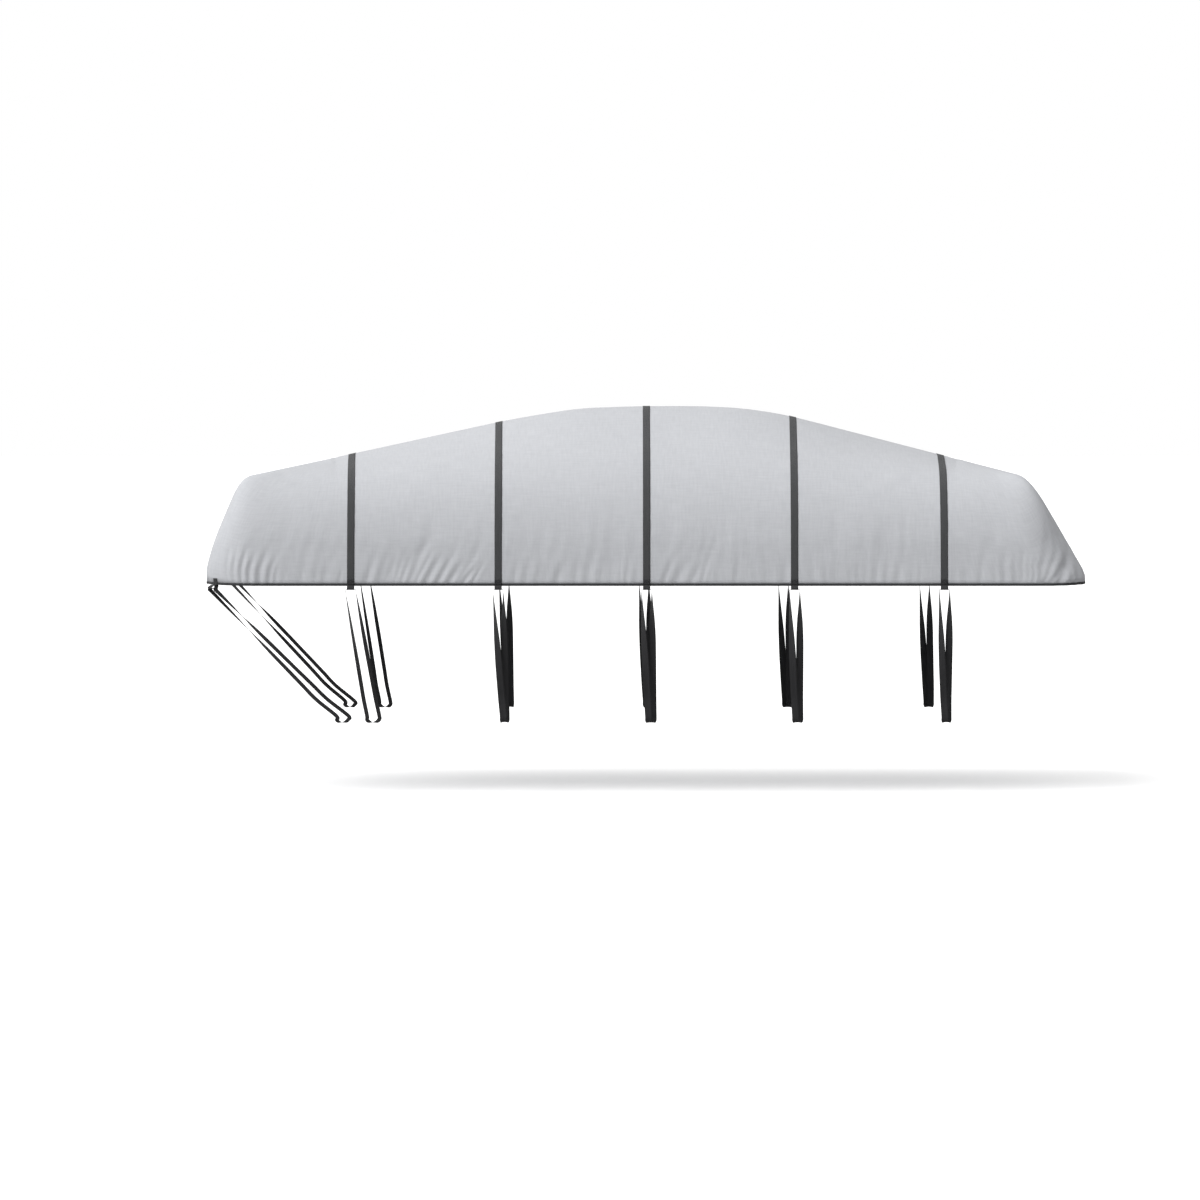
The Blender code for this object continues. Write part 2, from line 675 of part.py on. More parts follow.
def main():
    clear_scene()
    build_cover()
    build_binding()
    for name, middle, _ in STRAPS:
        build_over_strap(f"over_strap_{name}", middle)
    for side, bow_outer, bow_inner in BOW_TIES:
        far = side == "far"
        for (name, middle, _), (_, outer, inner, width) in zip(STRAPS, SIDE_TIES):
            over = SEAT_GAP + WEBBING_THICKNESS
            build_hem_loop(f"hem_loop_{side}_{name}", middle, far, over)
            build_tie(f"tie_{side}_{name}", middle, far, middle + outer, middle + inner, width)
        build_hem_loop(f"hem_loop_{side}_bow", BOW_TIE_PLACE, far, 0.0)
        build_tie(f"tie_{side}_bow", BOW_TIE_PLACE, far, bow_outer, bow_inner, BOW_TIE_WIDTH)


main()
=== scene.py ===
import math
import bpy
import bmesh
import numpy as np
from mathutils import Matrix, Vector


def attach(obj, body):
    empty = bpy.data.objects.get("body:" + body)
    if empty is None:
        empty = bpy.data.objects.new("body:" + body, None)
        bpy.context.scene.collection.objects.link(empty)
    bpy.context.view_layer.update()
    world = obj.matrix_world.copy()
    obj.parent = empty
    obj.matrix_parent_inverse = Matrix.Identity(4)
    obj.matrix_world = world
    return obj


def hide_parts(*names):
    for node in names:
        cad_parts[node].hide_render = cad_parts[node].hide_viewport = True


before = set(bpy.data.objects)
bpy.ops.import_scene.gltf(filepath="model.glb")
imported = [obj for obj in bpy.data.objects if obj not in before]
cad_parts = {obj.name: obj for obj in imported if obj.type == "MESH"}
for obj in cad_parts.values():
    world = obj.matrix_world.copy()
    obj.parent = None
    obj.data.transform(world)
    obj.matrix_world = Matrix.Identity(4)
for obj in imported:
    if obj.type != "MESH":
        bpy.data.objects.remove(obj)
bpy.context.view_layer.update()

# metres throughout; +X runs aft, -Y is the near side, z is 0 under the ridge
cover = {
    "length": 6.10, "beam": 2.44, "ridge": 1.23,
    "skin": 0.003,             # the ridge's outer side stands this far over z = 0
    "bowCorner": 0.35, "sternCorner": 0.30,  # the hem's corner radii
    "crownRun": 0.35,          # how far down the roof the crown's curve starts
    "crownFocus": 30,          # how soon that curve ends where the roof turns to an end
    "cornerHemRise": 0.007,    # the end hems hang higher by this, and their walls too
    "cornerRiseTop": 0.27,     # ... up to this height
    "thickness": 0.0024,       # of the sheet that shows
    "halfColumns": 540,        # coarse columns from bow centre to stern centre
    "skirtRows": 12,           # rows of the wall, which has twice the columns
    "skirtTop": 1.06,          # where on the shoulder the doubled columns end
    "shoulderRows": 6, "roofRows": 5, "crownRows": 5, "uvRows": 81,
    "ridgeRounding": 0.12,     # the ridge line is averaged over this much either way
    "ridgeSamples": 9,
    "weld": 0.00002,           # points closer than this are merged
}
walls = {  # shoulder's height, lean there, how hollow, height hanging plumb, soft turn's run
    "side": {"height": 0.736, "lean": 0.085, "power": 1.6, "foot": 0.0, "turn": 0.45},
    "bow": {"height": 0.728, "lean": 0.238, "power": 1.3, "foot": 0.08, "turn": 0.12},
    "stern": {"height": 0.733, "lean": 0.395, "power": 1.1, "foot": 0.06, "turn": 0.16},
}
cornerDrawnIn = {  # how much tighter the corner's arc is than at the hem, by height
    "height": (0.00, 0.12, 0.28, 0.36, 0.51, 0.60, 0.74),
    "bow": (0.000, 0.045, 0.090, 0.100, 0.100, 0.100, 0.115),
    "stern": (0.000, -0.045, -0.030, 0.000, 0.060, 0.095, 0.130),
}
ridgeLine = {
    "x": (-2.20, -1.01, -0.73, -0.45, -0.02, 0.41, 0.69, 0.975, 1.12, 2.22),
    "height": (0.865, 1.124, 1.174, 1.216, 1.23, 1.23, 1.216, 1.174, 1.138, 0.854),
}
straps = {
    "names": ("1", "2", "3", "4", "5"),
    "hemX": (-2.037, -1.020, 0.004, 1.024, 2.057),
    "ridgeX": (-2.078, -1.035, 0.011, 1.049, 2.096),
    "width": 0.050, "thickness": 0.0018, "lift": 0.0016,
    "selvedge": 0.0004, "selvedgeAt": 0.46, "selvedgeHalf": 0.04,
    "across": 8, "wallRows": 33, "shoulderRows": 21, "roofRows": 33, "crownRows": 17,
}
folds = {  # for each fold: place at the hem, slant, how high it reaches, depth, half width
    "bowFace": (
        (-4.020, 0.00, 0.22, 0.0075, 0.036), (-3.850, 0.00, 0.20, 0.0060, 0.032),
        (-3.710, 0.05, 0.24, 0.0085, 0.038), (-3.550, -0.05, 0.21, 0.0060, 0.032),
        (-3.420, 0.00, 0.23, 0.0080, 0.036), (-3.270, 0.05, 0.25, 0.0070, 0.034),
        (-3.150, 0.00, 0.22, 0.0065, 0.028),
    ),
    "bowSide": (
        (-2.884, -0.03, 0.31, 0.0060, 0.019), (-2.844, 0.14, 0.29, 0.0080, 0.020),
        (-2.792, 0.27, 0.31, 0.0095, 0.020), (-2.740, 0.38, 0.26, 0.0100, 0.020),
        (-2.668, 0.35, 0.29, 0.0090, 0.021), (-2.602, 0.40, 0.23, 0.0070, 0.018),
        (-2.559, 0.37, 0.18, 0.0050, 0.015),
        (-2.510, 0.65, 0.12, 0.0008, 0.013), (-2.383, 0.33, 0.20, 0.0023, 0.021),
        (-2.285, 0.23, 0.21, 0.0022, 0.016), (-2.221, 0.23, 0.22, 0.0037, 0.031),
        (-2.120, 0.24, 0.12, 0.0027, 0.013),
    ),
    "oneToTwo": (
        (-1.929, 0.27, 0.26, 0.0059, 0.025), (-1.831, 0.23, 0.24, 0.0065, 0.035),
        (-1.795, 0.28, 0.22, 0.0059, 0.018), (-1.766, 0.22, 0.25, 0.0074, 0.018),
        (-1.736, 0.31, 0.26, 0.0082, 0.022), (-1.694, 0.36, 0.27, 0.0067, 0.019),
        (-1.636, 0.40, 0.32, 0.0049, 0.030), (-1.590, 0.50, 0.32, 0.0046, 0.017),
        (-1.521, 0.53, 0.29, 0.0066, 0.028), (-1.443, 0.55, 0.28, 0.0085, 0.025),
        (-1.365, 0.60, 0.20, 0.0080, 0.031), (-1.306, 0.64, 0.24, 0.0041, 0.020),
        (-1.271, 0.78, 0.15, 0.0058, 0.021), (-1.203, 0.56, 0.19, 0.0036, 0.015),
    ),
    "twoToThree": (
        (-0.914, 0.16, 0.21, 0.0034, 0.021), (-0.832, 0.18, 0.26, 0.0040, 0.031),
        (-0.756, 0.24, 0.25, 0.0049, 0.028), (-0.699, 0.23, 0.22, 0.0058, 0.032),
        (-0.622, 0.28, 0.20, 0.0093, 0.033), (-0.550, 0.12, 0.21, 0.0062, 0.033),
        (-0.486, 0.07, 0.22, 0.0083, 0.030), (-0.408, 0.11, 0.26, 0.0068, 0.037),
        (-0.317, 0.11, 0.24, 0.0051, 0.029), (-0.253, 0.13, 0.26, 0.0057, 0.041),
        (-0.178, 0.05, 0.26, 0.0022, 0.015), (-0.141, 0.12, 0.22, 0.0034, 0.018),
        (-0.069, 0.06, 0.20, 0.0018, 0.018),
    ),
    "threeToFour": (
        (0.119, 0.35, 0.25, 0.0054, 0.022), (0.206, 0.37, 0.20, 0.0063, 0.041),
        (0.303, 0.50, 0.18, 0.0052, 0.031), (0.384, 0.25, 0.29, 0.0035, 0.018),
        (0.428, 0.22, 0.20, 0.0011, 0.013), (0.499, -0.01, 0.12, 0.0011, 0.018),
        (0.616, 0.14, 0.25, 0.0035, 0.022), (0.666, 0.05, 0.22, 0.0033, 0.033),
        (0.762, -0.17, 0.24, 0.0022, 0.026), (0.826, -0.10, 0.16, 0.0020, 0.019),
        (0.863, -0.03, 0.20, 0.0013, 0.027), (0.956, 0.02, 0.22, 0.0042, 0.030),
    ),
    "fourToFive": (
        (1.164, -0.16, 0.28, 0.0026, 0.025), (1.246, -0.10, 0.20, 0.0021, 0.019),
        (1.300, -0.02, 0.20, 0.0029, 0.041), (1.411, -0.07, 0.17, 0.0013, 0.013),
        (1.479, -0.11, 0.27, 0.0021, 0.020), (1.514, 0.00, 0.21, 0.0026, 0.018),
        (1.587, 0.05, 0.24, 0.0034, 0.027), (1.657, 0.07, 0.24, 0.0047, 0.024),
        (1.730, 0.11, 0.19, 0.0041, 0.033), (1.840, -0.08, 0.26, 0.0017, 0.027),
        (1.888, 0.06, 0.23, 0.0017, 0.013),
    ),
    "sternSide": (
        (2.129, 0.08, 0.16, 0.0027, 0.022), (2.206, -0.04, 0.19, 0.0025, 0.028),
        (2.300, 0.36, 0.23, 0.0025, 0.019), (2.409, 0.26, 0.20, 0.0031, 0.018),
        (2.473, 0.38, 0.28, 0.0055, 0.030), (2.542, 0.47, 0.26, 0.0075, 0.026),
        (2.587, 0.57, 0.29, 0.0073, 0.024), (2.631, 0.62, 0.27, 0.0053, 0.019),
        (2.663, 0.66, 0.25, 0.0056, 0.014), (2.704, 0.78, 0.27, 0.0080, 0.026),
        (2.736, 0.98, 0.27, 0.0100, 0.022), (2.771, 1.37, 0.29, 0.0129, 0.032),
        (2.843, 1.07, 0.28, 0.0134, 0.032), (2.955, 0.30, 0.22, 0.0075, 0.022),
        (3.030, 0.10, 0.22, 0.0080, 0.026),
    ),
    "sternFace": (
        (3.160, 0.10, 0.22, 0.0065, 0.028), (3.320, 0.00, 0.24, 0.0080, 0.036),
        (3.460, -0.05, 0.20, 0.0060, 0.032), (3.620, 0.05, 0.22, 0.0085, 0.038),
        (3.760, 0.00, 0.21, 0.0060, 0.032), (3.920, -0.05, 0.23, 0.0075, 0.036),
        (4.060, 0.00, 0.20, 0.0060, 0.032),
    ),
}
foldShape = {
    "deepen": 1.15,                                       # multiplies every fold's depth
    "crest": 0.25, "crestAway": 1.9, "crestHalf": 1.1,    # beside the trough, in half widths
    "fade": 1.35, "widening": 0.2,                        # towards a fold's top
    "farUneven": 0.30, "farBeat": 5.0,                    # the far side's depths differ
    "bedHalf": 0.027, "bedEase": 0.022,                   # flat beds under the straps
}
columnLean = {  # the cloth's columns of faces lean with its folds: place at the hem, slant
    "place": (-3.30, -3.05, -2.90, -2.75, -2.60, -2.30, -2.04, -1.80, -1.60, -1.30, -1.10,
              -0.90, -0.60, -0.40, -0.10, 0.15, 0.30, 0.45, 0.60, 0.80, 1.20, 1.50, 1.70,
              1.85, 2.13, 2.30, 2.50, 2.65, 2.80, 3.00, 3.20, 3.50),
    "slant": (0.00, 0.00, 0.14, 0.42, 0.55, 0.30, 0.25, 0.25, 0.42, 0.62, 0.50,
              0.20, 0.20, 0.10, 0.08, 0.36, 0.42, 0.22, 0.06, -0.10, -0.12, -0.05, 0.08,
              0.00, 0.03, 0.25, 0.45, 0.68, 1.05, 0.75, 0.35, 0.00),
    "top": 0.30,
}
waves = (  # long soft waves over the folds: place, slant, lowest, highest, half width, depth
    (-1.72, 0.75, 0.10, 0.48, 0.045, 0.005), (-1.30, 0.55, 0.12, 0.55, 0.060, 0.004),
    (-0.52, 0.12, 0.15, 0.60, 0.060, 0.004), (-0.26, 0.10, 0.12, 0.58, 0.050, 0.003),
    (0.10, 0.15, 0.12, 0.60, 0.060, 0.004), (0.42, 0.18, 0.10, 0.55, 0.055, 0.003),
    (1.22, 0.25, 0.10, 0.60, 0.060, 0.005), (1.62, 0.12, 0.10, 0.52, 0.050, 0.004),
    (2.45, 0.20, 0.12, 0.50, 0.050, 0.004), (-2.55, 0.20, 0.14, 0.55, 0.060, 0.004),
)
slackWaves = (  # waves of the whole cloth: depth, beats along the hem and up, start
    (0.0016, 5.1, 3.0, 0.4), (0.0012, 9.7, -6.0, 1.9), (0.0010, 3.3, 13.0, 2.6),
)
streaks = {
    "depth": 0.0006,
    # beat along the hem, swing of that beat, the swing's own beat, and where both start
    "beats": ((66, 2.1, 3.7, 0.0, 0.0), (41, 2.4, 2.9, 1.0, 1.3)),
    "low": 0.05, "lowEase": 0.20, "high": 0.66, "highEase": 0.35,   # heights, with soft ends
}
settling = {  # where the slack fades, and how the push turns from sideways to upwards
    "hemEase": 0.15, "ridgeEase": 0.6, "endBefore": 0.1, "endEase": 0.2,
    "upShare": 0.85, "upFrom": 0.35, "upEase": 0.45,
}

halfLength = cover["length"] / 2
halfBeam = cover["beam"] / 2
bowTangent = -halfLength + cover["bowCorner"]
sternTangent = halfLength - cover["sternCorner"]
bowArc = cover["bowCorner"] * math.pi / 2
sternArc = cover["sternCorner"] * math.pi / 2
bowCentre = bowTangent - bowArc - (halfBeam - cover["bowCorner"])
sternCentre = sternTangent + sternArc + (halfBeam - cover["sternCorner"])
bowLoopPlace = -3.020
hemZ = cover["skin"] - cover["ridge"]
up = np.array([0, 0, 1.0])


# the cover's surface: place runs along the hem, v from 0 at the hem to 4 at the ridge
def outline(place, sideIn=0.0, endIn=0.0, cornerIn=0.0):
    # rounded rectangle: plain x along the side, a quarter arc, then across the end to y = 0;
    # the insets move the side and the end in and tighten the arc between them
    bow = place < 0
    aft = np.where(bow, -1.0, 1.0)
    tangent = np.where(bow, bowTangent, sternTangent)
    radius = np.where(bow, cover["bowCorner"], cover["sternCorner"])
    arc = radius * math.pi / 2
    hold = np.where(bow, straps["hemX"][0], straps["hemX"][-1])
    past = (place - tangent) * aft
    tight = radius - cornerIn
    cornerX = aft * (halfLength - endIn - tight)
    cornerY = tight - halfBeam + sideIn
    share = np.clip((place - hold) / (tangent - hold), 0, 1)
    turn = np.clip(past / radius, 0, math.pi / 2)
    nx, ny = aft * np.sin(turn), -np.cos(turn)
    across = 1 - np.clip((past - arc) / (halfBeam - radius), 0, 1)
    x = np.where(past <= 0, place + (cornerX - tangent) * share, cornerX + tight * nx)
    y = np.where(past <= arc, cornerY + tight * ny, cornerY * across)
    return x, y, nx, ny


def ridgeHeight(x):
    # straight pieces between the ridge's stations, run on past both ends at their own
    # slope and rounded by averaging along x
    stations, heights = np.array(ridgeLine["x"]), np.array(ridgeLine["height"])
    bowSlope = (heights[1] - heights[0]) / (stations[1] - stations[0])
    sternSlope = (heights[-1] - heights[-2]) / (stations[-1] - stations[-2])
    heights = np.concatenate([[heights[0] - bowSlope], heights, [heights[-1] + sternSlope]])
    stations = np.concatenate([[stations[0] - 1], stations, [stations[-1] + 1]])
    steps = np.linspace(-1, 1, cover["ridgeSamples"]) * cover["ridgeRounding"]
    return np.interp(x[..., None] + steps, stations, heights).mean(-1)


def ridgeTarget(place):
    # station of the ridge above a place on the hem, drawn along with the straps
    drift = np.array(straps["ridgeX"]) - np.array(straps["hemX"])
    moved = place + np.interp(place, straps["hemX"], drift)
    return np.clip(moved, ridgeLine["x"][0], ridgeLine["x"][-1])


def endValue(place, name):
    # a wall's value at the end, bow or stern, that is nearer
    return np.where(place < 0, walls["bow"][name], walls["stern"][name])


def shoulderHeight(place):
    # the side's height, rising to the middle of an end as 1 - (y / half beam) squared
    y = outline(place)[1]
    side = walls["side"]["height"]
    return side + (endValue(place, "height") - side) * (1 - (y / halfBeam) ** 2)


def wallSpot(place, height):
    # each face leans in by lean * ((height - foot) / (full height - foot)) ** power and hangs
    # plumb under its foot; the corners' arcs change with the height by a table
    side = walls["side"]
    sideIn = side["lean"] * (height / side["height"]) ** side["power"]
    foot = endValue(place, "foot")
    endShare = np.maximum(height - foot, 0) / (endValue(place, "height") - foot)
    endIn = endValue(place, "lean") * endShare ** endValue(place, "power")
    bowIn, sternIn = (np.interp(height, cornerDrawnIn["height"], cornerDrawnIn[end])
                      for end in ("bow", "stern"))
    return outline(place, sideIn, endIn, np.where(place < 0, bowIn, sternIn))


def wallTop(place):
    # the shoulder's height, and the run of the soft turn that starts below it
    share = outline(place)[2] ** 2
    turn = walls["side"]["turn"] * (1 - share) + endValue(place, "turn") * share
    return shoulderHeight(place), turn


def smooth(value):
    # t * t * (3 - 2 t), from 0 to 1
    value = np.clip(value, 0, 1)
    return value * value * (3 - 2 * value)


def foldDepth(place, height, far):
    # each fold is a trough exp(-(d / w)^2) between two crests, fading smoothly to nothing at
    # its top; d is the distance from a middle line that leans by the fold's slant; a wave is
    # such a trough with a depth of sin^2 from its lowest to its highest point
    total = np.zeros(np.broadcast(place, height).shape)
    shape = foldShape
    for row in folds.values():
        for spot, slant, rise, depth, half in row:
            if far:
                depth *= 1 + shape["farUneven"] * math.sin(shape["farBeat"] * spot)
            left = smooth(shape["fade"] * (1 - height / rise))
            width = half * (1 + shape["widening"] * height / rise)
            away = (place - spot - slant * height) / width
            trough = np.exp(-away ** 2)
            crests = np.exp(-((np.abs(away) - shape["crestAway"]) / shape["crestHalf"]) ** 2)
            total += shape["deepen"] * depth * left * (shape["crest"] * crests - trough)
    for spot, slant, low, high, half, depth in waves:
        away = (place - spot - slant * height) / half
        swell = np.sin(math.pi * np.clip((height - low) / (high - low), 0, 1)) ** 2
        total -= depth * swell * np.exp(-away ** 2)
    return total


def bedMask(place):
    # 0 on the flat bed under a strap or bow loop, 1 away from it
    mask = np.ones(np.shape(place))
    for middle in (*straps["hemX"], bowLoopPlace):
        beside = np.abs(place - middle) - foldShape["bedHalf"]
        mask = mask * smooth(beside / foldShape["bedEase"])
    return mask


def slack(place, height):
    # the cloth between the straps isn't taut: crossing sine waves of a millimetre or two
    return sum(depth * np.sin(along * place + climb * height + start)
               for depth, along, climb, start in slackWaves)


def crinkle(place, height):
    # faint streaks over the folds, where the gathered cloth runs out: sines with an uneven
    # beat along the hem, which lean with the folds and fade out towards the shoulder
    along = place - np.interp(place, columnLean["place"], columnLean["slant"]) * height
    streak = sum(np.sin(beat * along + swing * np.sin(slow * along + first) + second)
                 for beat, swing, slow, first, second in streaks["beats"])
    return (streaks["depth"] * streak * smooth((height - streaks["low"]) / streaks["lowEase"])
            * smooth((streaks["high"] - height) / streaks["highEase"]))


def coverPoints(place, v, far, folded=True):
    # wall up to v = 1, then a quadratic curve round the shoulder, a straight roof and a
    # quadratic curve over the crown; folds and slack push the cloth out along its normal
    place, v = np.broadcast_arrays(np.asarray(place, float), np.asarray(v, float))
    full, turn = wallTop(place)
    height = (full - turn) * np.clip(v, 0, 1)
    nx, ny = outline(place)[2:]
    rise = cover["cornerHemRise"] * nx ** 2 * np.clip(1 - height / cover["cornerRiseTop"], 0, 1)

    def spotAt(level):
        return np.stack([*wallSpot(place, level)[:2], level], -1)

    wall, top, shoulder = spotAt(height), spotAt(full - turn), spotAt(full)
    wall[..., 2] += rise
    ridgeX = ridgeTarget(place)
    ridgeTop = ridgeHeight(ridgeX)
    reach = np.stack([ridgeX - shoulder[..., 0], -shoulder[..., 1]], -1)
    span = np.linalg.norm(reach, axis=-1)
    crownRun = cover["crownRun"] * (reach[..., 1] / span) ** cover["crownFocus"]
    half = crownRun / (2 * span)
    level = np.zeros_like(ridgeX)
    apex = np.stack([ridgeX, level, (ridgeTop - full * half) / (1 - half)], -1)
    peak = np.stack([ridgeX, level, ridgeTop], -1)
    roof = apex - shoulder
    roofStart = shoulder + roof * (turn / np.linalg.norm(roof, axis=-1))[..., None]
    crownStart = apex - roof * (crownRun / span)[..., None]

    def bend(start, control, end, t):
        t = np.clip(t, 0, 1)[..., None]
        return (1 - t) ** 2 * start + 2 * t * (1 - t) * control + t ** 2 * end

    t = v[..., None]
    points = np.where(t <= 1, wall, bend(top, shoulder, roofStart, v - 1))
    points = np.where(t > 2, roofStart + (crownStart - roofStart) * np.clip(t - 2, 0, 1), points)
    points = np.where(t > 3, bend(crownStart, (crownStart + apex) / 2, peak, v - 3), points)
    height = points[..., 2] - rise * (v <= 1)
    beyond = np.maximum(ridgeLine["x"][0] - place, place - ridgeLine["x"][-1])
    push = slack(place, height) * smooth(height / settling["hemEase"])
    push = push * smooth((4 - v) / settling["ridgeEase"])
    past = smooth((beyond + settling["endBefore"]) / settling["endEase"])
    push = push * (1 - past * smooth(v - 1))
    if folded:
        push = push + (foldDepth(place, height, far) + crinkle(place, height)) * bedMask(place)
    lift = settling["upShare"] * smooth((height - settling["upFrom"]) / settling["upEase"])
    points = points + np.stack([nx * (1 - lift), ny * (1 - lift), lift], -1) * push[..., None]
    points[..., 2] += hemZ
    if far:
        points[..., 1] *= -1
    return points


def addObject(name, data):
    # an object of the scene, at the origin
    made = bpy.data.objects.new(name, data)
    bpy.context.scene.collection.objects.link(made)
    return made


def addPiece(name, points, faces, material, uv, wrap=0.0):
    # a closed piece gives its length round as wrap: in a face over its seam, a low u goes on
    # from the highest
    mesh = bpy.data.meshes.new(name)
    mesh.from_pydata(points.reshape(-1, 3).tolist(), [], faces)
    layer = mesh.uv_layers.new(name="UVMap")
    corners = np.empty(len(mesh.loops), np.int32)
    mesh.loops.foreach_get("vertex_index", corners)
    values = uv.reshape(-1, 2)[corners].astype(np.float32)
    if wrap:
        starts, sizes = (np.empty(len(mesh.polygons), np.int32) for _ in range(2))
        mesh.polygons.foreach_get("loop_start", starts)
        mesh.polygons.foreach_get("loop_total", sizes)
        highest = np.repeat(np.maximum.reduceat(values[:, 0], starts), sizes)
        values[highest - values[:, 0] > wrap / 2, 0] += wrap
    layer.data.foreach_set("uv", values.ravel())
    mesh.shade_smooth()
    mesh.materials.append(material)
    piece = addObject(name, mesh)
    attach(piece, "root")
    return piece


def gridFaces(grid, closedRows=False, closedColumns=False):
    # quads between neighbouring rows and columns of a grid of points
    rows, columns = grid.shape[:2]
    i, j = np.meshgrid(np.arange(rows if closedRows else rows - 1),
                       np.arange(columns if closedColumns else columns - 1), indexing="ij")
    i2, j2 = (i + 1) % rows, (j + 1) % columns
    quads = np.stack([i * columns + j, i * columns + j2, i2 * columns + j2, i2 * columns + j], -1)
    return quads.reshape(-1, 4).tolist()


def faceOutward(piece, weld=0.0):
    # points closer than the weld are merged, then every face is turned outwards
    shell = bmesh.new()
    shell.from_mesh(piece.data)
    if weld:
        bmesh.ops.remove_doubles(shell, verts=shell.verts, dist=weld)
    bmesh.ops.recalc_face_normals(shell, faces=shell.faces)
    shell.to_mesh(piece.data)
    shell.free()


def thicken(piece, thickness, offset=0.0):
    wall = piece.modifiers.new("thickness", "SOLIDIFY")
    wall.thickness = thickness
    wall.offset = offset


def alongPath(points):
    # distance run from the first point to each
    return np.concatenate([[0], np.cumsum(np.linalg.norm(np.diff(points, axis=0), axis=1))])


def unit(vectors):
    return vectors / np.linalg.norm(vectors, axis=-1, keepdims=True)


def newGroup(name, inputs, outputs):
    # Place is a vector, every other socket a number
    group = bpy.data.node_groups.new(name, "ShaderNodeTree")
    for way, labels in (("INPUT", inputs), ("OUTPUT", outputs)):
        for label in labels:
            kind = "NodeSocketVector" if label == "Place" else "NodeSocketFloat"
            group.interface.new_socket(label, in_out=way, socket_type=kind)
    return group, group.nodes.new("NodeGroupInput"), group.nodes.new("NodeGroupOutput")


def setInputs(node, values):
    # a number or colour for each named input
    for label, value in values.items():
        node.inputs[label].default_value = value


def addNode(tree, kind, values={}, links={}):
    # a new node with plain values and with links from other nodes' sockets
    node = tree.nodes.new("ShaderNode" + kind)
    setInputs(node, values)
    for label, source in links.items():
        tree.links.new(source, node.inputs[label])
    return node


def axes(tree, place):
    # x, y and z of a vector
    return addNode(tree, "SeparateXYZ", links={"Vector": place}).outputs


def maths(tree, operation, first, second=None, third=None, clamp=False):
    node = addNode(tree, "Math")
    node.operation = operation
    node.use_clamp = clamp
    for index, value in enumerate((first, second, third)):
        if value is None:
            continue
        if isinstance(value, (int, float)):
            node.inputs[index].default_value = value
        else:
            tree.links.new(value, node.inputs[index])
    return node.outputs[0]


grain = {  # noise patterns of the mottle: scale along u, v and w, and detail
    "cloud": ((7.0, 7.0, 7.0), 3.0), "warp": ((75.0, 8.0, 1.0), 4.0),
    "weft": ((8.0, 75.0, 1.0), 4.0),
}
ribShape = {"chevron": 0.125, "skew": 0.03, "cords": 16, "cordShare": 0.35,
            "selvedgeFrom": 0.41, "selvedgeSharp": 14.0}


def makeWeave():
    # plain weave: over and under yarns as sin(x) sin(y), from metres of UV and a yarn pitch
    tree, given, out = newGroup("plainWeave", ("Place", "Pitch"), ("Height", "Shade"))
    turn = maths(tree, "DIVIDE", math.pi, given.outputs["Pitch"])
    warp, weft = (maths(tree, "SINE", maths(tree, "MULTIPLY", axis, turn))
                  for axis in axes(tree, given.outputs["Place"])[:2])
    crossing = maths(tree, "MULTIPLY", warp, weft)
    height = maths(tree, "ABSOLUTE", crossing)
    tree.links.new(height, out.inputs["Height"])
    tree.links.new(maths(tree, "MULTIPLY_ADD", crossing, 0.5, 0.5), out.inputs["Shade"])
    return tree


def makeMottle():
    # cloudy dye and slubby yarn: broad noise plus noise drawn out along each yarn direction
    tree, given, out = newGroup("mottle", ("Place",), ("Cloud", "Slub"))
    noises = []
    for scale, detail in grain.values():
        place = addNode(tree, "Mapping", {"Scale": scale}, {"Vector": given.outputs["Place"]})
        noises.append(addNode(tree, "TexNoise", {"Scale": 1.0, "Detail": detail},
                              {"Vector": place.outputs[0]}).outputs[0])
    cloud, warp, weft = noises
    slub = maths(tree, "ADD", warp, weft)
    tree.links.new(cloud, out.inputs["Cloud"])
    tree.links.new(maths(tree, "MULTIPLY", slub, 0.5), out.inputs["Slub"])
    return tree


def makeRib():
    # webbing: herringbone ribs across the band, u along and v across from -0.5 to 0.5, with
    # a rounder selvedge at both edges
    tree, given, out = newGroup("webbingRib", ("Place", "Pitch"), ("Height", "Edge"))
    along, across, _ = axes(tree, given.outputs["Place"])
    folded = maths(tree, "PINGPONG", maths(tree, "ADD", across, 0.5), ribShape["chevron"])
    skew = maths(tree, "MULTIPLY_ADD", folded, ribShape["skew"], along)
    turn = maths(tree, "DIVIDE", math.tau, given.outputs["Pitch"])
    rib = maths(tree, "SINE", maths(tree, "MULTIPLY", skew, turn))
    cord = maths(tree, "SINE", maths(tree, "MULTIPLY", across, math.tau * ribShape["cords"]))
    tree.links.new(maths(tree, "MULTIPLY_ADD", cord, ribShape["cordShare"], rib),
                   out.inputs["Height"])
    side = maths(tree, "ABSOLUTE", across)
    edge = maths(tree, "MULTIPLY", maths(tree, "SUBTRACT", side, ribShape["selvedgeFrom"]),
                 ribShape["selvedgeSharp"], clamp=True)
    tree.links.new(edge, out.inputs["Edge"])
    return tree


def placeGroup(tree, group, place, values):
    # a shared group in one material, with its pattern laid out on place
    node = addNode(tree, "Group")
    node.node_tree = group
    setInputs(node, values)
    tree.links.new(place, node.inputs["Place"])
    return node.outputs


def mixColour(tree, factor, low, high):
    # low where the factor is 0, high where it is 1; each is a colour or a socket
    mix = addNode(tree, "Mix")
    mix.data_type = "RGBA"
    for socket, value in ((mix.inputs[0], factor), (mix.inputs[6], low), (mix.inputs[7], high)):
        if isinstance(value, bpy.types.NodeSocket):
            tree.links.new(value, socket)
        else:
            socket.default_value = value
    return mix.outputs[2]


def newMaterial(name, values):
    material = bpy.data.materials.new(name)
    material.use_nodes = True
    shader = material.node_tree.nodes["Principled BSDF"]
    setInputs(shader, values)
    return material, material.node_tree, shader


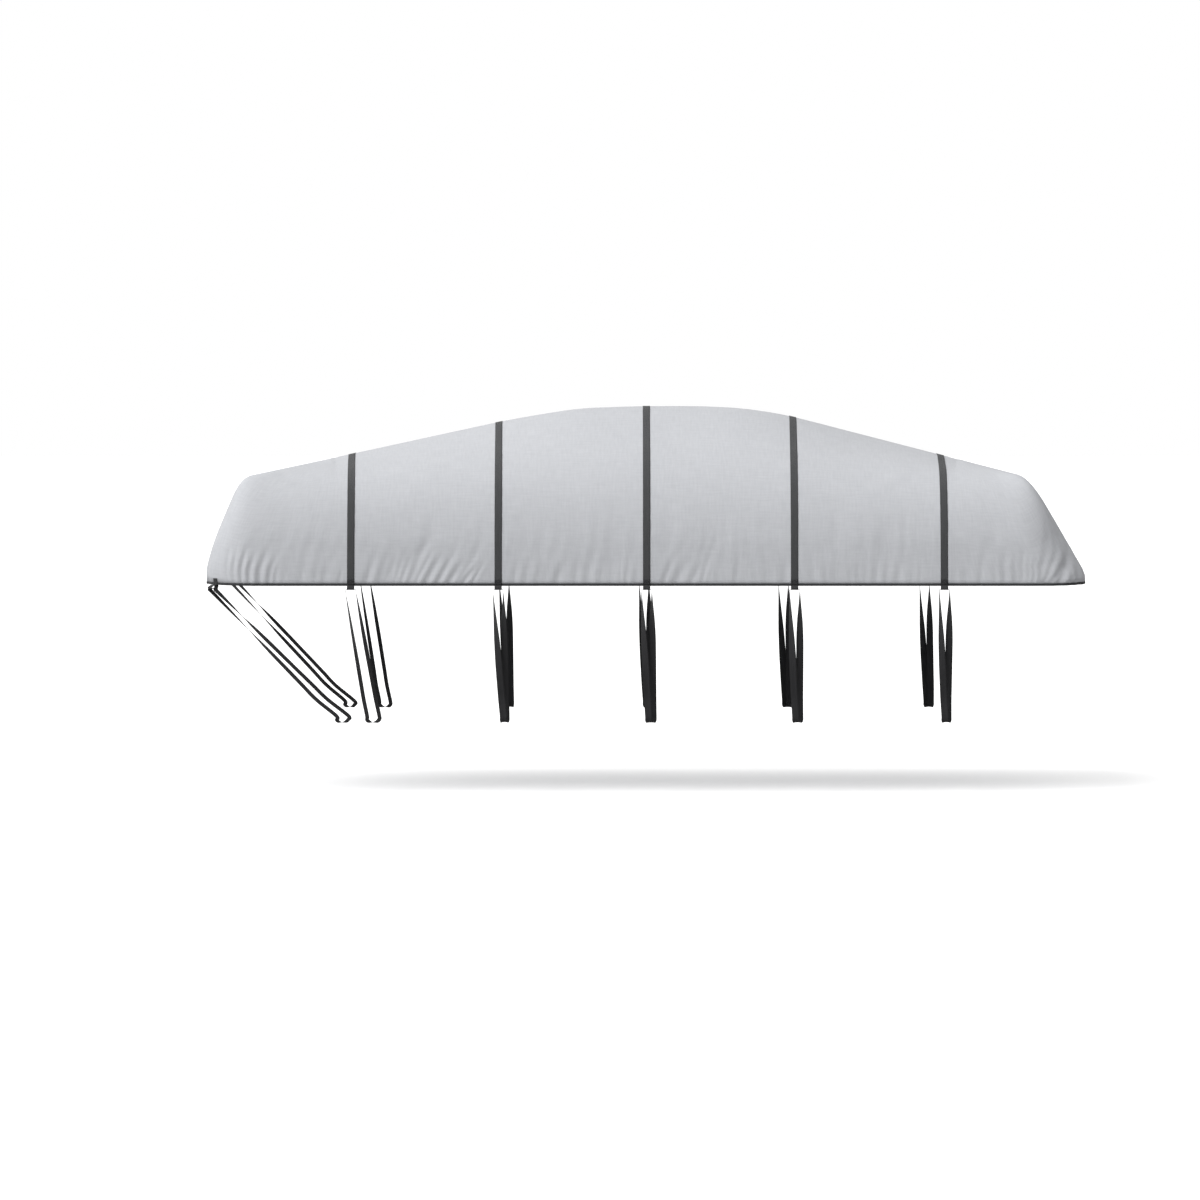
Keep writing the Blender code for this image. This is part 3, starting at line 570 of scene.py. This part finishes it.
def newYarn(name, look):
    # yarn's finish, and the piece's UV as the place of its patterns
    material, tree, shader = newMaterial(name, {
        "Roughness": look["roughness"], "Sheen Weight": look["sheen"],
        "Sheen Roughness": yarnFinish["sheenRoughness"],
        "Specular IOR Level": yarnFinish["specular"]})
    place = addNode(tree, "UVMap")
    place.uv_map = "UVMap"
    return material, tree, shader, place.outputs[0]


def bump(tree, height, strength, distance, normal=None):
    links = {"Height": height} if normal is None else {"Height": height, "Normal": normal}
    return addNode(tree, "Bump", {"Strength": strength, "Distance": distance}, links).outputs[0]


yarnFinish = {"sheenRoughness": 0.5, "specular": 0.25}
clothLook = {
    "dark": (0.478, 0.488, 0.513, 1), "light": (0.584, 0.594, 0.619, 1),
    "roughness": 0.82, "sheen": 0.12, "cloud": 0.3, "slub": 1.8,
    "slubBump": 0.25, "slubDepth": 0.0012,
    "pitch": 0.0016, "weaveShade": 0.12, "weaveBump": 0.35, "weaveDepth": 0.0003,
    "stitchRows": (0.009, 0.026), "stitchLength": 0.007, "stitchShare": 0.62,
    "stitchHalf": 0.0007, "stitchBump": 0.6, "stitchDepth": 0.0008,
    "stitch": (0.36, 0.365, 0.385, 1),
}
# painted shade over the ribs: its share of the rib height and its middle, the mottle's lift, then
# the bump
webbingLook = {"ribShare": 0.30, "ribMiddle": 0.45, "mottleLift": 0.5, "bump": 0.7, "depth": 0.0005}
overLook = {"dark": (0.030, 0.031, 0.033, 1), "light": (0.095, 0.097, 0.10, 1),
            "edge": (0.028, 0.029, 0.031, 1), "pitch": 0.0042, "roughness": 0.68, "sheen": 0.10}
tieLook = {"dark": (0.010, 0.010, 0.011, 1), "light": (0.034, 0.034, 0.037, 1),
           "edge": (0.010, 0.010, 0.011, 1), "pitch": 0.0042, "roughness": 0.60, "sheen": 0.10}
tapeLook = {"dark": (0.026, 0.027, 0.029, 1), "light": (0.060, 0.061, 0.065, 1),
            "edge": (0.026, 0.027, 0.029, 1), "pitch": 0.0030, "roughness": 0.70, "sheen": 0.05}
threadLook = {"dark": (0.07, 0.07, 0.075, 1), "light": (0.12, 0.12, 0.125, 1),
              "roughness": 0.55, "sheen": 0.0, "grain": 900.0, "bump": 0.5, "depth": 0.0003}


def makeClothMaterial():
    # grey woven cloth: cloudy dye, slubby yarns, a plain weave and two rows of hem stitches
    material, tree, shader, place = newYarn("greyCloth", clothLook)
    mottle = placeGroup(tree, mottleGroup, place, {})
    weave = placeGroup(tree, weaveGroup, place, {"Pitch": clothLook["pitch"]})
    even = (1 - clothLook["cloud"] - clothLook["slub"]) / 2
    cloudy = maths(tree, "MULTIPLY_ADD", mottle["Cloud"], clothLook["cloud"], even)
    slubby = maths(tree, "MULTIPLY_ADD", mottle["Slub"], clothLook["slub"], cloudy)
    shade = maths(tree, "MULTIPLY_ADD", weave["Shade"], clothLook["weaveShade"], slubby)
    base = mixColour(tree, shade, clothLook["dark"], clothLook["light"])
    along, climb, _ = axes(tree, place)
    step = maths(tree, "FRACT", maths(tree, "DIVIDE", along, clothLook["stitchLength"]))
    dash = maths(tree, "LESS_THAN", step, clothLook["stitchShare"])
    rows = None
    for level in clothLook["stitchRows"]:
        away = maths(tree, "ABSOLUTE", maths(tree, "SUBTRACT", climb, level))
        row = maths(tree, "LESS_THAN", away, clothLook["stitchHalf"])
        rows = row if rows is None else maths(tree, "MAXIMUM", rows, row)
    stitch = maths(tree, "MULTIPLY", dash, rows)
    dyed = mixColour(tree, stitch, base, clothLook["stitch"])
    tree.links.new(dyed, shader.inputs["Base Color"])
    normal = None
    for height, layer in ((weave["Height"], "weave"), (mottle["Slub"], "slub"),
                          (stitch, "stitch")):
        normal = bump(tree, height, clothLook[layer + "Bump"], clothLook[layer + "Depth"], normal)
    tree.links.new(normal, shader.inputs["Normal"])
    return material


def makeWebbing(name, look):
    # woven webbing: painted shade that makes the ribs' tops paler and their grooves darker, a
    # random mottle over it, and darker selvedges
    material, tree, shader, place = newYarn(name, look)
    rib = placeGroup(tree, ribGroup, place, {"Pitch": look["pitch"]})
    mottle = placeGroup(tree, mottleGroup, place, {})
    # painted shade: lighter where the ribs stand high, darker in the grooves, times a random
    # mottle
    high = maths(tree, "MULTIPLY_ADD", rib["Height"], webbingLook["ribShare"],
                 webbingLook["ribMiddle"], clamp=True)
    ribShadeAndMottle = maths(tree, "MULTIPLY", high, maths(tree, "ADD", mottle["Cloud"], webbingLook["mottleLift"]))
    base = mixColour(tree, ribShadeAndMottle, look["dark"], look["light"])
    edged = mixColour(tree, rib["Edge"], base, look["edge"])
    tree.links.new(edged, shader.inputs["Base Color"])
    ribbed = bump(tree, rib["Height"], webbingLook["bump"], webbingLook["depth"])
    tree.links.new(ribbed, shader.inputs["Normal"])
    return material


def makeThread():
    # sewing thread: plain dark yarn with a fine bump
    material, tree, shader, _ = newYarn("thread", threadLook)
    coords = addNode(tree, "TexCoord")
    noise = addNode(tree, "TexNoise", {"Scale": threadLook["grain"]},
                    {"Vector": coords.outputs["Object"]}).outputs[0]
    base = mixColour(tree, noise, threadLook["dark"], threadLook["light"])
    tree.links.new(base, shader.inputs["Base Color"])
    rough = bump(tree, noise, threadLook["bump"], threadLook["depth"])
    tree.links.new(rough, shader.inputs["Normal"])
    return material


weaveGroup, mottleGroup, ribGroup = makeWeave(), makeMottle(), makeRib()
greyCloth = makeClothMaterial()
strapWebbing = makeWebbing("strapWebbing", overLook)
tieWebbing = makeWebbing("tieWebbing", tieLook)
hemTape = makeWebbing("hemTape", tapeLook)
threadMaterial = makeThread()
print("materials made")


# cover cloth
def leaningPlaces(places, v):
    # places of every row of a ring: each column leans with its folds up to a height
    places, v = places[None, :], v[:, None]
    full, turn = wallTop(places)
    height = (full - turn) * np.clip(v, 0, 1)
    slant = np.interp(places, columnLean["place"], columnLean["slant"])
    return places + slant * np.minimum(height, columnLean["top"])


def ring(places, v):
    # near half from bow to stern, then the far half back, as rows of points for each v
    spots = leaningPlaces(places, v)
    near = coverPoints(spots, v[:, None], False)
    far = coverPoints(spots[:, -2:0:-1], v[:, None], True)
    return np.concatenate([near, far], axis=1)


def levels(ends, piece):
    # v through the shoulder, the roof and the crown, in the piece's own rows
    steps = [piece[part + "Rows"] for part in ("shoulder", "roof", "crown")]
    return np.concatenate([ends[:1]] + [np.linspace(first, last, count + 1)[1:] for
                           first, last, count in zip(ends, ends[1:], steps)])


def ringPlaces(count):
    # evenly spaced places from the middle of the bow to the middle of the stern
    return np.linspace(bowCentre, sternCentre, count + 1)


def clothUv(places, v):
    # metres along the hem below each point, and metres up the plain column it stands on
    spots = leaningPlaces(places, v)
    hem = alongPath(coverPoints(places, np.zeros(len(places)), False, False))
    near = np.interp(spots, places, hem)
    along = np.concatenate([near, 2 * hem[-1] - near[:, -2:0:-1]], axis=1)
    rows = np.union1d(np.linspace(0, 4, cover["uvRows"]), v)
    steps = coverPoints(places[None, :], rows[:, None], False, False)
    climb = np.linalg.norm(np.diff(steps, axis=0), axis=-1)
    climb = np.concatenate([np.zeros((1, len(places))), np.cumsum(climb, axis=0)])
    climb = climb[np.searchsorted(rows, v)]
    climb = np.concatenate([climb, climb[:, -2:0:-1]], axis=1)
    return np.stack([along, climb], -1).reshape(-1, 2)


def makeCover():
    # twice the columns in the skirt; each upper quad meets two skirt edges as a pentagon
    coarse = ringPlaces(cover["halfColumns"])
    fine = ringPlaces(2 * cover["halfColumns"])
    low = np.append(np.linspace(0, 1, cover["skirtRows"] + 1), cover["skirtTop"])
    high = levels((cover["skirtTop"], 2, 3, 4), cover)[1:]
    skirt, upper = ring(fine, low), ring(coarse, high)
    fineCount, coarseCount = skirt.shape[1], upper.shape[1]
    start = skirt.shape[0] * fineCount
    faces = gridFaces(skirt, closedColumns=True)
    last = (len(low) - 1) * fineCount
    j = np.arange(coarseCount)
    after = (j + 1) % coarseCount
    joins = np.stack([last + 2 * j, last + 2 * j + 1, last + (2 * j + 2) % fineCount,
                      start + after, start + j], -1)
    faces += joins.tolist()
    faces += (np.array(gridFaces(upper, closedColumns=True)) + start).tolist()
    points = np.concatenate([skirt.reshape(-1, 3), upper.reshape(-1, 3)])
    uv = np.concatenate([clothUv(fine, low), clothUv(coarse, high)])
    around = 2 * alongPath(coverPoints(fine, np.zeros(len(fine)), False, False))[-1]
    piece = addPiece("coverCloth", points, faces, greyCloth, uv, around)
    faceOutward(piece, cover["weld"])
    thicken(piece, cover["thickness"], -1.0)
    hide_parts("cover_cloth")
    return piece


coverPiece = makeCover()
print("cover cloth:", len(coverPiece.data.polygons), "faces on its outer side")


# over-straps
def bandPoints(middle, across, normal, count):
    # a band carried along its middle line: s from -0.5 to 0.5 across it, raised near both
    # edges by selvedge * exp(-((|s| - at) / half)^2)
    s = np.linspace(-0.5, 0.5, count + 1)
    raised = np.exp(-((np.abs(s) - straps["selvedgeAt"]) / straps["selvedgeHalf"]) ** 2)
    return (middle[:, None] + across[:, None] * (s * straps["width"])[:, None]
            + normal[:, None] * (raised * straps["selvedge"])[:, None])


def bandUv(middle, count):
    # u in metres along the band, v from -0.5 to 0.5 across it
    along = alongPath(middle)
    s = np.linspace(-0.5, 0.5, count + 1)
    return np.stack(np.broadcast_arrays(along[:, None], s[None, :]), -1)


def makeStrap(name, place):
    # the cover's own columns at the strap's middle and both edges, hem to hem, lifted clear
    v = np.concatenate([np.linspace(0, 1, straps["wallRows"] + 1),
                        levels((1, 2, 3, 4), straps)[1:]])
    half = straps["width"] / 2
    lines = []
    for shift in (-half, 0.0, half):
        near = coverPoints(place + shift, v, False, False)
        far = coverPoints(place + shift, v[-2::-1], True, False)
        lines.append(np.concatenate([near, far]))
    across = unit(lines[2] - lines[0])
    heading = unit(np.gradient(lines[1], axis=0))
    normal = unit(np.cross(across, heading))
    middle = lines[1] + normal * straps["lift"]
    points = bandPoints(middle, across, normal, straps["across"])
    piece = addPiece(f"overStrap{name}", points, gridFaces(points),
                     strapWebbing, bandUv(middle, straps["across"]))
    thicken(piece, straps["thickness"])
    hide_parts(f"over_strap_{name}")
    return piece


strapPieces = [makeStrap(name, place) for name, place in zip(straps["names"], straps["hemX"])]
print("over-straps:", len(strapPieces))

# edge binding
binding = {"down": 0.0132, "up": 0.0038, "half": 0.0022, "corner": 0.0008, "ribSpread": 0.8}


def makeBinding():
    # a folded tape round the hem edge: a rounded rectangle carried round the hem
    hem = ring(ringPlaces(2 * cover["halfColumns"]), np.zeros(1))[0]
    heading = unit(np.roll(hem, -1, axis=0) - np.roll(hem, 1, axis=0))
    outward = unit(np.stack([heading[:, 1], -heading[:, 0], np.zeros(len(hem))], -1))
    core = hem - outward * cover["thickness"] / 2
    half, corner = binding["half"], binding["corner"]
    above, down = binding["up"], -binding["down"]
    profile = np.array([(side * (half - inset), level) for side, inset, level in (
        (1, 0, above), (1, 0, down + 2 * corner), (1, corner, down), (-1, corner, down),
        (-1, 0, down + 2 * corner), (-1, 0, above), (-1, corner, above + corner),
        (1, corner, above + corner))])
    points = (core[:, None] + outward[:, None] * profile[None, :, :1]
              + up * profile[None, :, 1:])
    along = alongPath(np.concatenate([hem, hem[:1]]))
    level = (profile[:, 1] - down) / (above - down) - 0.5
    uv = np.stack(np.broadcast_arrays(along[:-1, None], level * binding["ribSpread"]), -1)
    piece = addPiece("hemBinding", points, gridFaces(points, True, True),
                     hemTape, uv, along[-1])
    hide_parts("hem_binding")
    return piece


bindingPiece = makeBinding()
print("hem binding made")

# hem loops
loops = {
    "drop": 0.0385, "reach": 0.048, "ply": 0.032, "outerHang": 0.010, "innerHang": 0.026,
    "overStrap": 0.0024, "seat": 0.0014, "thickness": 0.0016, "across": 6, "steps": 6,
    "stirrup": ((0.62, 0.44), (1.00, 0.73), (1.04, 0.87), (0.94, 1.00), (0.08, 1.00),
                (-0.02, 0.90)),  # shares of the reach out and of the drop down
    "leanSpan": 0.13,
}


def throughPoints(points, steps, closed=False):
    # Catmull-Rom curve through the points, that many steps from each to the next
    points = np.asarray(points, float)
    if closed:
        padded = np.concatenate([points[-1:], points, points[:2]])
    else:
        padded = np.concatenate([2 * points[:1] - points[1:2], points,
                                 2 * points[-1:] - points[-2:-1]])
    a, b, c, d = padded[:-3], padded[1:-2], padded[2:-1], padded[3:]
    t = np.linspace(0, 1, steps, endpoint=False)[None, :, None]
    a, b, c, d = (p[:, None] for p in (a, b, c, d))
    curve = 0.5 * (2 * b + (c - a) * t + (2 * a - 5 * b + 4 * c - d) * t ** 2
                   + (3 * b - a - 3 * c + d) * t ** 3)
    curve = curve.reshape(-1, points.shape[1])
    return curve if closed else np.concatenate([curve, points[-1:]])


def loopFrame(place, far):
    # hem point, outward and along directions, on either side
    edges = np.array([place - foldShape["bedHalf"], place + foldShape["bedHalf"]])
    x, y, _, _ = outline(edges)
    middle = np.array([x.mean(), y.mean(), 0.0])
    along = unit(np.array([x[1] - x[0], y[1] - y[0], 0.0]))
    outward = np.array([along[1], -along[0], 0.0])
    flip = np.array([1.0, -1.0 if far else 1.0, 1.0])
    return middle * flip, outward * flip, along * flip


def hemLean(place):
    # how far the wall leans in for each metre up from the hem
    step = loops["leanSpan"]
    x, y, nx, ny = (float(value) for value in wallSpot(np.array(place), np.array(0.0)))
    upX, upY = (float(value) for value in wallSpot(np.array(place), np.array(step))[:2])
    return ((x - upX) * nx + (y - upY) * ny) / step


def cornerBase(outward):
    # how much higher the hem hangs there: the end's rise times outward x squared
    return cover["cornerHemRise"] * outward[0] ** 2


def makeLoop(side, name, place, far, under):
    # stirrup of webbing: outer ply over the hem, round under the tie-down, inner ply behind
    middle, outward, along = loopFrame(place, far)
    lean = hemLean(place)
    half = loops["thickness"] / 2
    outer = under + loops["seat"] + half
    inner = -cover["thickness"] - loops["seat"] - half
    ply = loops["ply"]
    route = [(outer - lean * ply, ply), (outer, 0.0), (outer, -loops["outerHang"])]
    route += [(loops["reach"] * out, -loops["drop"] * down) for out, down in loops["stirrup"]]
    route += [(inner, -loops["innerHang"]), (inner, 0.0), (inner - lean * ply, ply)]
    flat = throughPoints(route, loops["steps"])
    base = hemZ + cornerBase(outward)
    points = middle + outward * flat[:, :1] + up * (flat[:, 1:] + base)
    heading = unit(np.gradient(points, axis=0))
    across = np.broadcast_to(along, points.shape)
    normal = unit(np.cross(across, heading)) * (-1 if far else 1)
    shape = bandPoints(points, across, normal, loops["across"])
    piece = addPiece(f"hemLoop_{side}_{name}", shape, gridFaces(shape),
                     tieWebbing, bandUv(points, loops["across"]))
    thicken(piece, loops["thickness"])
    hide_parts(f"hem_loop_{side}_{name}")
    makeStitches(f"stitches_{side}_{name}", middle, outward, along, outer + half, lean, base)
    return piece


stitching = {
    "halfWidth": 0.019, "low": 0.004, "high": 0.028, "pitch": 0.0046, "length": 0.0034,
    "radius": 0.0006, "sides": 6, "proud": 0.3,
    "along": (-0.5, -0.3, 0.3, 0.5), "fat": (0.25, 1, 1, 0.25),  # a stitch's rings
}


def makeStitches(name, middle, outward, along, surface, lean, base):
    # a box with crossed diagonals, sewn with short round stitches: each is a thin spindle
    # of four rings, at their shares of its length and of its radius
    half, low, high = stitching["halfWidth"], stitching["low"], stitching["high"]
    corners = np.array([(-half, low), (half, low), (half, high), (-half, high), (-half, low),
                        (half, high), (-half, high), (half, low)])
    starts, ends = corners[[0, 1, 2, 3, 4, 6]], corners[[1, 2, 3, 4, 5, 7]]
    centres, headings = [], []
    for first, second in zip(starts, ends):
        length = np.linalg.norm(second - first)
        count = round(length / stitching["pitch"])
        share = (np.arange(count) + 0.5) / count
        centres.append(first + (second - first) * share[:, None])
        headings.append(np.repeat([(second - first) / length], count, axis=0))
    centres, headings = np.concatenate(centres), np.concatenate(headings)
    out = surface - lean * centres[:, 1:] + stitching["radius"] * stitching["proud"]
    spot = middle + along * centres[:, :1] + up * (centres[:, 1:] + base) + outward * out
    heading = unit(along * headings[:, :1] + (up - outward * lean) * headings[:, 1:])
    side = unit(np.cross(heading, outward))
    t = (np.array(stitching["along"]) * stitching["length"])[:, None, None]
    fat = (stitching["radius"] * np.array(stitching["fat"]))[:, None, None]
    angle = np.linspace(0, math.tau, stitching["sides"], endpoint=False)
    rim = (side[:, None, None] * np.cos(angle)[:, None] + outward * np.sin(angle)[:, None])
    points = spot[:, None, None] + heading[:, None, None] * t + rim * fat
    one = np.array(gridFaces(points[0], closedColumns=True))
    size = len(t) * len(angle)
    shift = (np.arange(len(spot)) * size)[:, None]
    faces = (one + shift[..., None]).reshape(-1, 4).tolist()
    faces += (np.arange(len(angle))[None, ::-1] + shift).tolist()
    faces += (np.arange(size - len(angle), size)[None] + shift).tolist()
    piece = addPiece(name, points, faces, threadMaterial,
                     np.zeros((points.size // 3, 2)))
    faceOutward(piece)


# tie-downs
ties = {
    "gather": 0.036, "thickness": 0.0016, "seatGap": 0.0012, "across": 6, "curveSteps": 5,
    "legSpread": 0.036, "legStart": 0.012, "legSteps": 12, "legGrading": 1.6,
    "innerBulge": 0.022, "outerBulge": 0.004, "innerTurning": 1.90, "outerTurning": 1.25,
    "bendIn": (0.002, 0.009), "bendDown": 0.003,      # where the band leaves its hem loop
    "footOuter": 1.1215, "footInner": 1.0585, "footTop": -0.803, "footUnder": -0.9465,
    "footRise": 0.030, "footCorner": 0.004, "footTuck": 0.003,
    "footSag": 0.016, "sagIn": 0.45, "sagOut": 0.55, "sagShare": 0.75,
    "cup": 0.0035, "cupBeat": 9, "cupStart": 4,
    "bowWidth": 0.026,
    "bowFeet": {"near": (-2.140, -2.062), "far": (-2.182, -2.108)},
    # from the strap's place at the hem: x of the outer and the inner foot, then the width
    "sideFeet": {"1": (0.108, 0.190, 0.028), "2": (0.034, 0.051, 0.050),
                 "3": (0.015, 0.046, 0.050), "4": (0.012, 0.042, 0.050),
                 "5": (0.012, 0.036, 0.050)},
}


def tieLeg(top, lowX, face, bulge):
    # straight line down to the foot, bowed out by bulge * sin(pi t), with closer points
    # near its top
    share = np.linspace(0, 1, ties["legSteps"] + 1) ** ties["legGrading"]
    footTop, footUnder = ties["footTop"] + hemZ, ties["footUnder"] + hemZ
    fall = (top[2] - footTop) / (top[2] - footUnder)
    foot = np.array([top[0] + (lowX - top[0]) * fall, face, footTop])
    line = top + (foot - top) * share[:, None]
    line[:, 1] += math.copysign(bulge, face) * np.sin(math.pi * share)
    return line, share


def tieFoot(innerX, outerX, flip):
    # the slack round of the foot, from the inner leg under to the outer leg
    xMid = (outerX + innerX) / 2
    yMid = (ties["footOuter"] + ties["footInner"]) / 2
    span = (ties["footOuter"] - ties["footInner"]) / 2
    under = ties["footUnder"] + hemZ

    def half(x, y, inward):
        return [(x, flip * y, under + ties["footRise"]),
                (x, flip * (y + inward * ties["footTuck"]), under + ties["footCorner"]),
                (x + (xMid - x) * ties["sagIn"], flip * (yMid - inward * span * ties["sagOut"]),
                 under - ties["footSag"] * ties["sagShare"])]

    return np.array(half(innerX, ties["footInner"], 1)
                    + [(xMid, flip * yMid, under - ties["footSag"])]
                    + half(outerX, ties["footOuter"], -1)[::-1])


def makeTie(side, name, place, far, outerX, innerX, footWidth):
    # closed loop of webbing: flat through the hem loop, each leg turning a quarter on its way
    # down, then round a slack foot; the band is cupped by cup * (1 - (2 s) squared)
    middle, outward, along = loopFrame(place, far)
    flip = 1.0 if far else -1.0
    seat = -loops["drop"] + loops["thickness"] + ties["seatGap"]
    passing = middle + outward * (loops["reach"] / 2) + up * (cornerBase(outward) + hemZ)
    spread = ties["legSpread"]
    legs, turning = {}, {}
    for key, sign, lowX in (("inner", 1, innerX), ("outer", -1, outerX)):
        top = passing + along * (sign * spread) + up * (seat - ties["legStart"])
        face = flip * ties["foot" + key.capitalize()]
        legs[key], share = tieLeg(top, lowX, face, ties[key + "Bulge"])
        turning[key] = np.clip(share * ties[key + "Turning"], 0, 1)
    foot = tieFoot(innerX, outerX, flip)
    edge, bend = ties["bendIn"]
    threaded = passing + along * np.array([edge - spread, bend - spread, spread - bend,
                                           spread - edge])[:, None]
    threaded = threaded + up * (seat - ties["bendDown"] * np.array([1, 0, 0, 1]))[:, None]
    route = np.concatenate([threaded, legs["inner"], foot, legs["outer"][::-1]])
    turns = np.concatenate([np.zeros(4), turning["inner"], np.ones(len(foot)),
                            turning["outer"][::-1]])
    sizes = ties["gather"] + (footWidth - ties["gather"]) * np.clip(2 * turns, 0, 1)
    table = throughPoints(np.column_stack([route, turns, sizes]), ties["curveSteps"], closed=True)
    line, turn, size = table[:, :3], np.clip(table[:, 3], 0, 1) * math.pi / 2, table[:, 4]
    heading = unit(np.roll(line, -1, axis=0) - np.roll(line, 1, axis=0))
    across = outward * np.cos(turn)[:, None] + np.array([1.0, 0, 0]) * np.sin(turn)[:, None]
    across = unit(across - heading * (across * heading).sum(1)[:, None])
    normal = np.cross(heading, across) * (-1 if far else 1)
    beat = np.sin(line[:, 2] * ties["cupBeat"] + place * ties["cupStart"])
    cup = ties["cup"] * np.sin(turn) * (0.5 + 0.5 * beat)
    s = np.linspace(-0.5, 0.5, ties["across"] + 1)
    points = (line[:, None] + across[:, None] * (s * size[:, None])[..., None]
              + normal[:, None] * (cup[:, None] * (1 - (2 * s) ** 2))[..., None])
    around = alongPath(np.concatenate([line, line[:1]]))[-1]
    piece = addPiece(f"tieDown_{side}_{name}", points, gridFaces(points, closedRows=True),
                     tieWebbing, bandUv(line, ties["across"]), around)
    thicken(piece, ties["thickness"])
    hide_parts(f"tie_{side}_{name}")
    return piece


loopPieces, tiePieces = [], []
for side, far in (("near", False), ("far", True)):
    for name, place in zip(straps["names"], straps["hemX"]):
        outer, inner, width = ties["sideFeet"][name]
        loopPieces.append(makeLoop(side, name, place, far, loops["overStrap"]))
        tiePieces.append(makeTie(side, name, place, far, place + outer, place + inner, width))
    loopPieces.append(makeLoop(side, "bow", bowLoopPlace, far, 0.0))
    tiePieces.append(makeTie(side, "bow", bowLoopPlace, far, *ties["bowFeet"][side],
                             ties["bowWidth"]))
print("hem loops and tie-downs:", len(loopPieces), len(tiePieces))

# floor, lights and camera
studio = {
    "floorZ": -2.68, "floorReach": 400.0, "floorRoughness": 0.9, "floorSpecular": 0.1,
    "floorSeen": (1, 1, 1, 1), "floorBounce": (0.5, 0.5, 0.5, 1),
    "floorGlow": 0.3,          # seen by the camera alone, to keep the floor's shadow light
    "skyLow": 0.45, "skyHigh": 1.05, "skyLeft": 0.45, "backdrop": 1.0,
    "keyPower": 1.75, "keyFrom": (-0.55, -0.42, 0.72), "keySoftness": 45.0,
}
camera = {"distance": 40.0, "frameWidth": 8.272, "x": -0.3178, "z": -0.117, "pitch": 1.747,
          "sensor": 36.0, "farthest": 1000.0}


def makeFloor():
    mesh = bpy.data.meshes.new("floor")
    reach = studio["floorReach"]
    corners = [(-reach, -reach), (reach, -reach), (reach, reach), (-reach, reach)]
    mesh.from_pydata([(x, y, studio["floorZ"]) for x, y in corners], [], [(0, 1, 2, 3)])
    material, tree, shader = newMaterial("floorPaint", {
        "Roughness": studio["floorRoughness"], "Specular IOR Level": studio["floorSpecular"],
        "Emission Color": (1, 1, 1, 1)})
    seen = addNode(tree, "LightPath").outputs["Is Camera Ray"]
    tree.links.new(mixColour(tree, seen, studio["floorBounce"], studio["floorSeen"]),
                   shader.inputs["Base Color"])
    tree.links.new(maths(tree, "MULTIPLY", seen, studio["floorGlow"]),
                   shader.inputs["Emission Strength"])
    mesh.materials.append(material)
    floor = addObject("floor", mesh)


def makeLights():
    # a soft sky, low + (high - low) * up squared + left * (towards -X), seen by the camera
    # as plain white, and one large soft key from the bow side
    world = bpy.data.worlds.new("studio")
    bpy.context.scene.world = world
    world.use_nodes = True
    tree = world.node_tree
    backdrop = tree.nodes["Background"]
    backdrop.inputs["Color"].default_value = (1, 1, 1, 1)
    aft, _, height = axes(tree, addNode(tree, "TexCoord").outputs["Generated"])
    rise = maths(tree, "POWER", maths(tree, "MAXIMUM", height, 0.0), 2.0)
    sky = maths(tree, "MULTIPLY_ADD", rise, studio["skyHigh"] - studio["skyLow"], studio["skyLow"])
    sky = maths(tree, "MULTIPLY_ADD", aft, -studio["skyLeft"], sky)
    seen = addNode(tree, "LightPath").outputs["Is Camera Ray"]
    change = maths(tree, "SUBTRACT", studio["backdrop"], sky)
    strength = maths(tree, "MULTIPLY_ADD", change, seen, sky)
    tree.links.new(strength, backdrop.inputs["Strength"])
    lamp = bpy.data.lights.new("key", "SUN")
    lamp.energy = studio["keyPower"]
    lamp.angle = math.radians(studio["keySoftness"])
    key = addObject("key", lamp)
    key.rotation_euler = Vector(studio["keyFrom"]).to_track_quat("Z", "Y").to_euler()


def makeCamera():
    lens = bpy.data.cameras.new("camera")
    lens.sensor_width = camera["sensor"]
    lens.lens = camera["sensor"] * camera["distance"] / camera["frameWidth"]
    lens.clip_end = camera["farthest"]
    view = addObject("camera", lens)
    view.location = (camera["x"], -halfBeam - camera["distance"], camera["z"])
    view.rotation_euler = (math.radians(90 - camera["pitch"]), 0, 0)
    bpy.context.scene.camera = view


makeFloor()
makeLights()
makeCamera()
bpy.context.scene.view_settings.view_transform = "Standard"
print("floor, lights and camera set")
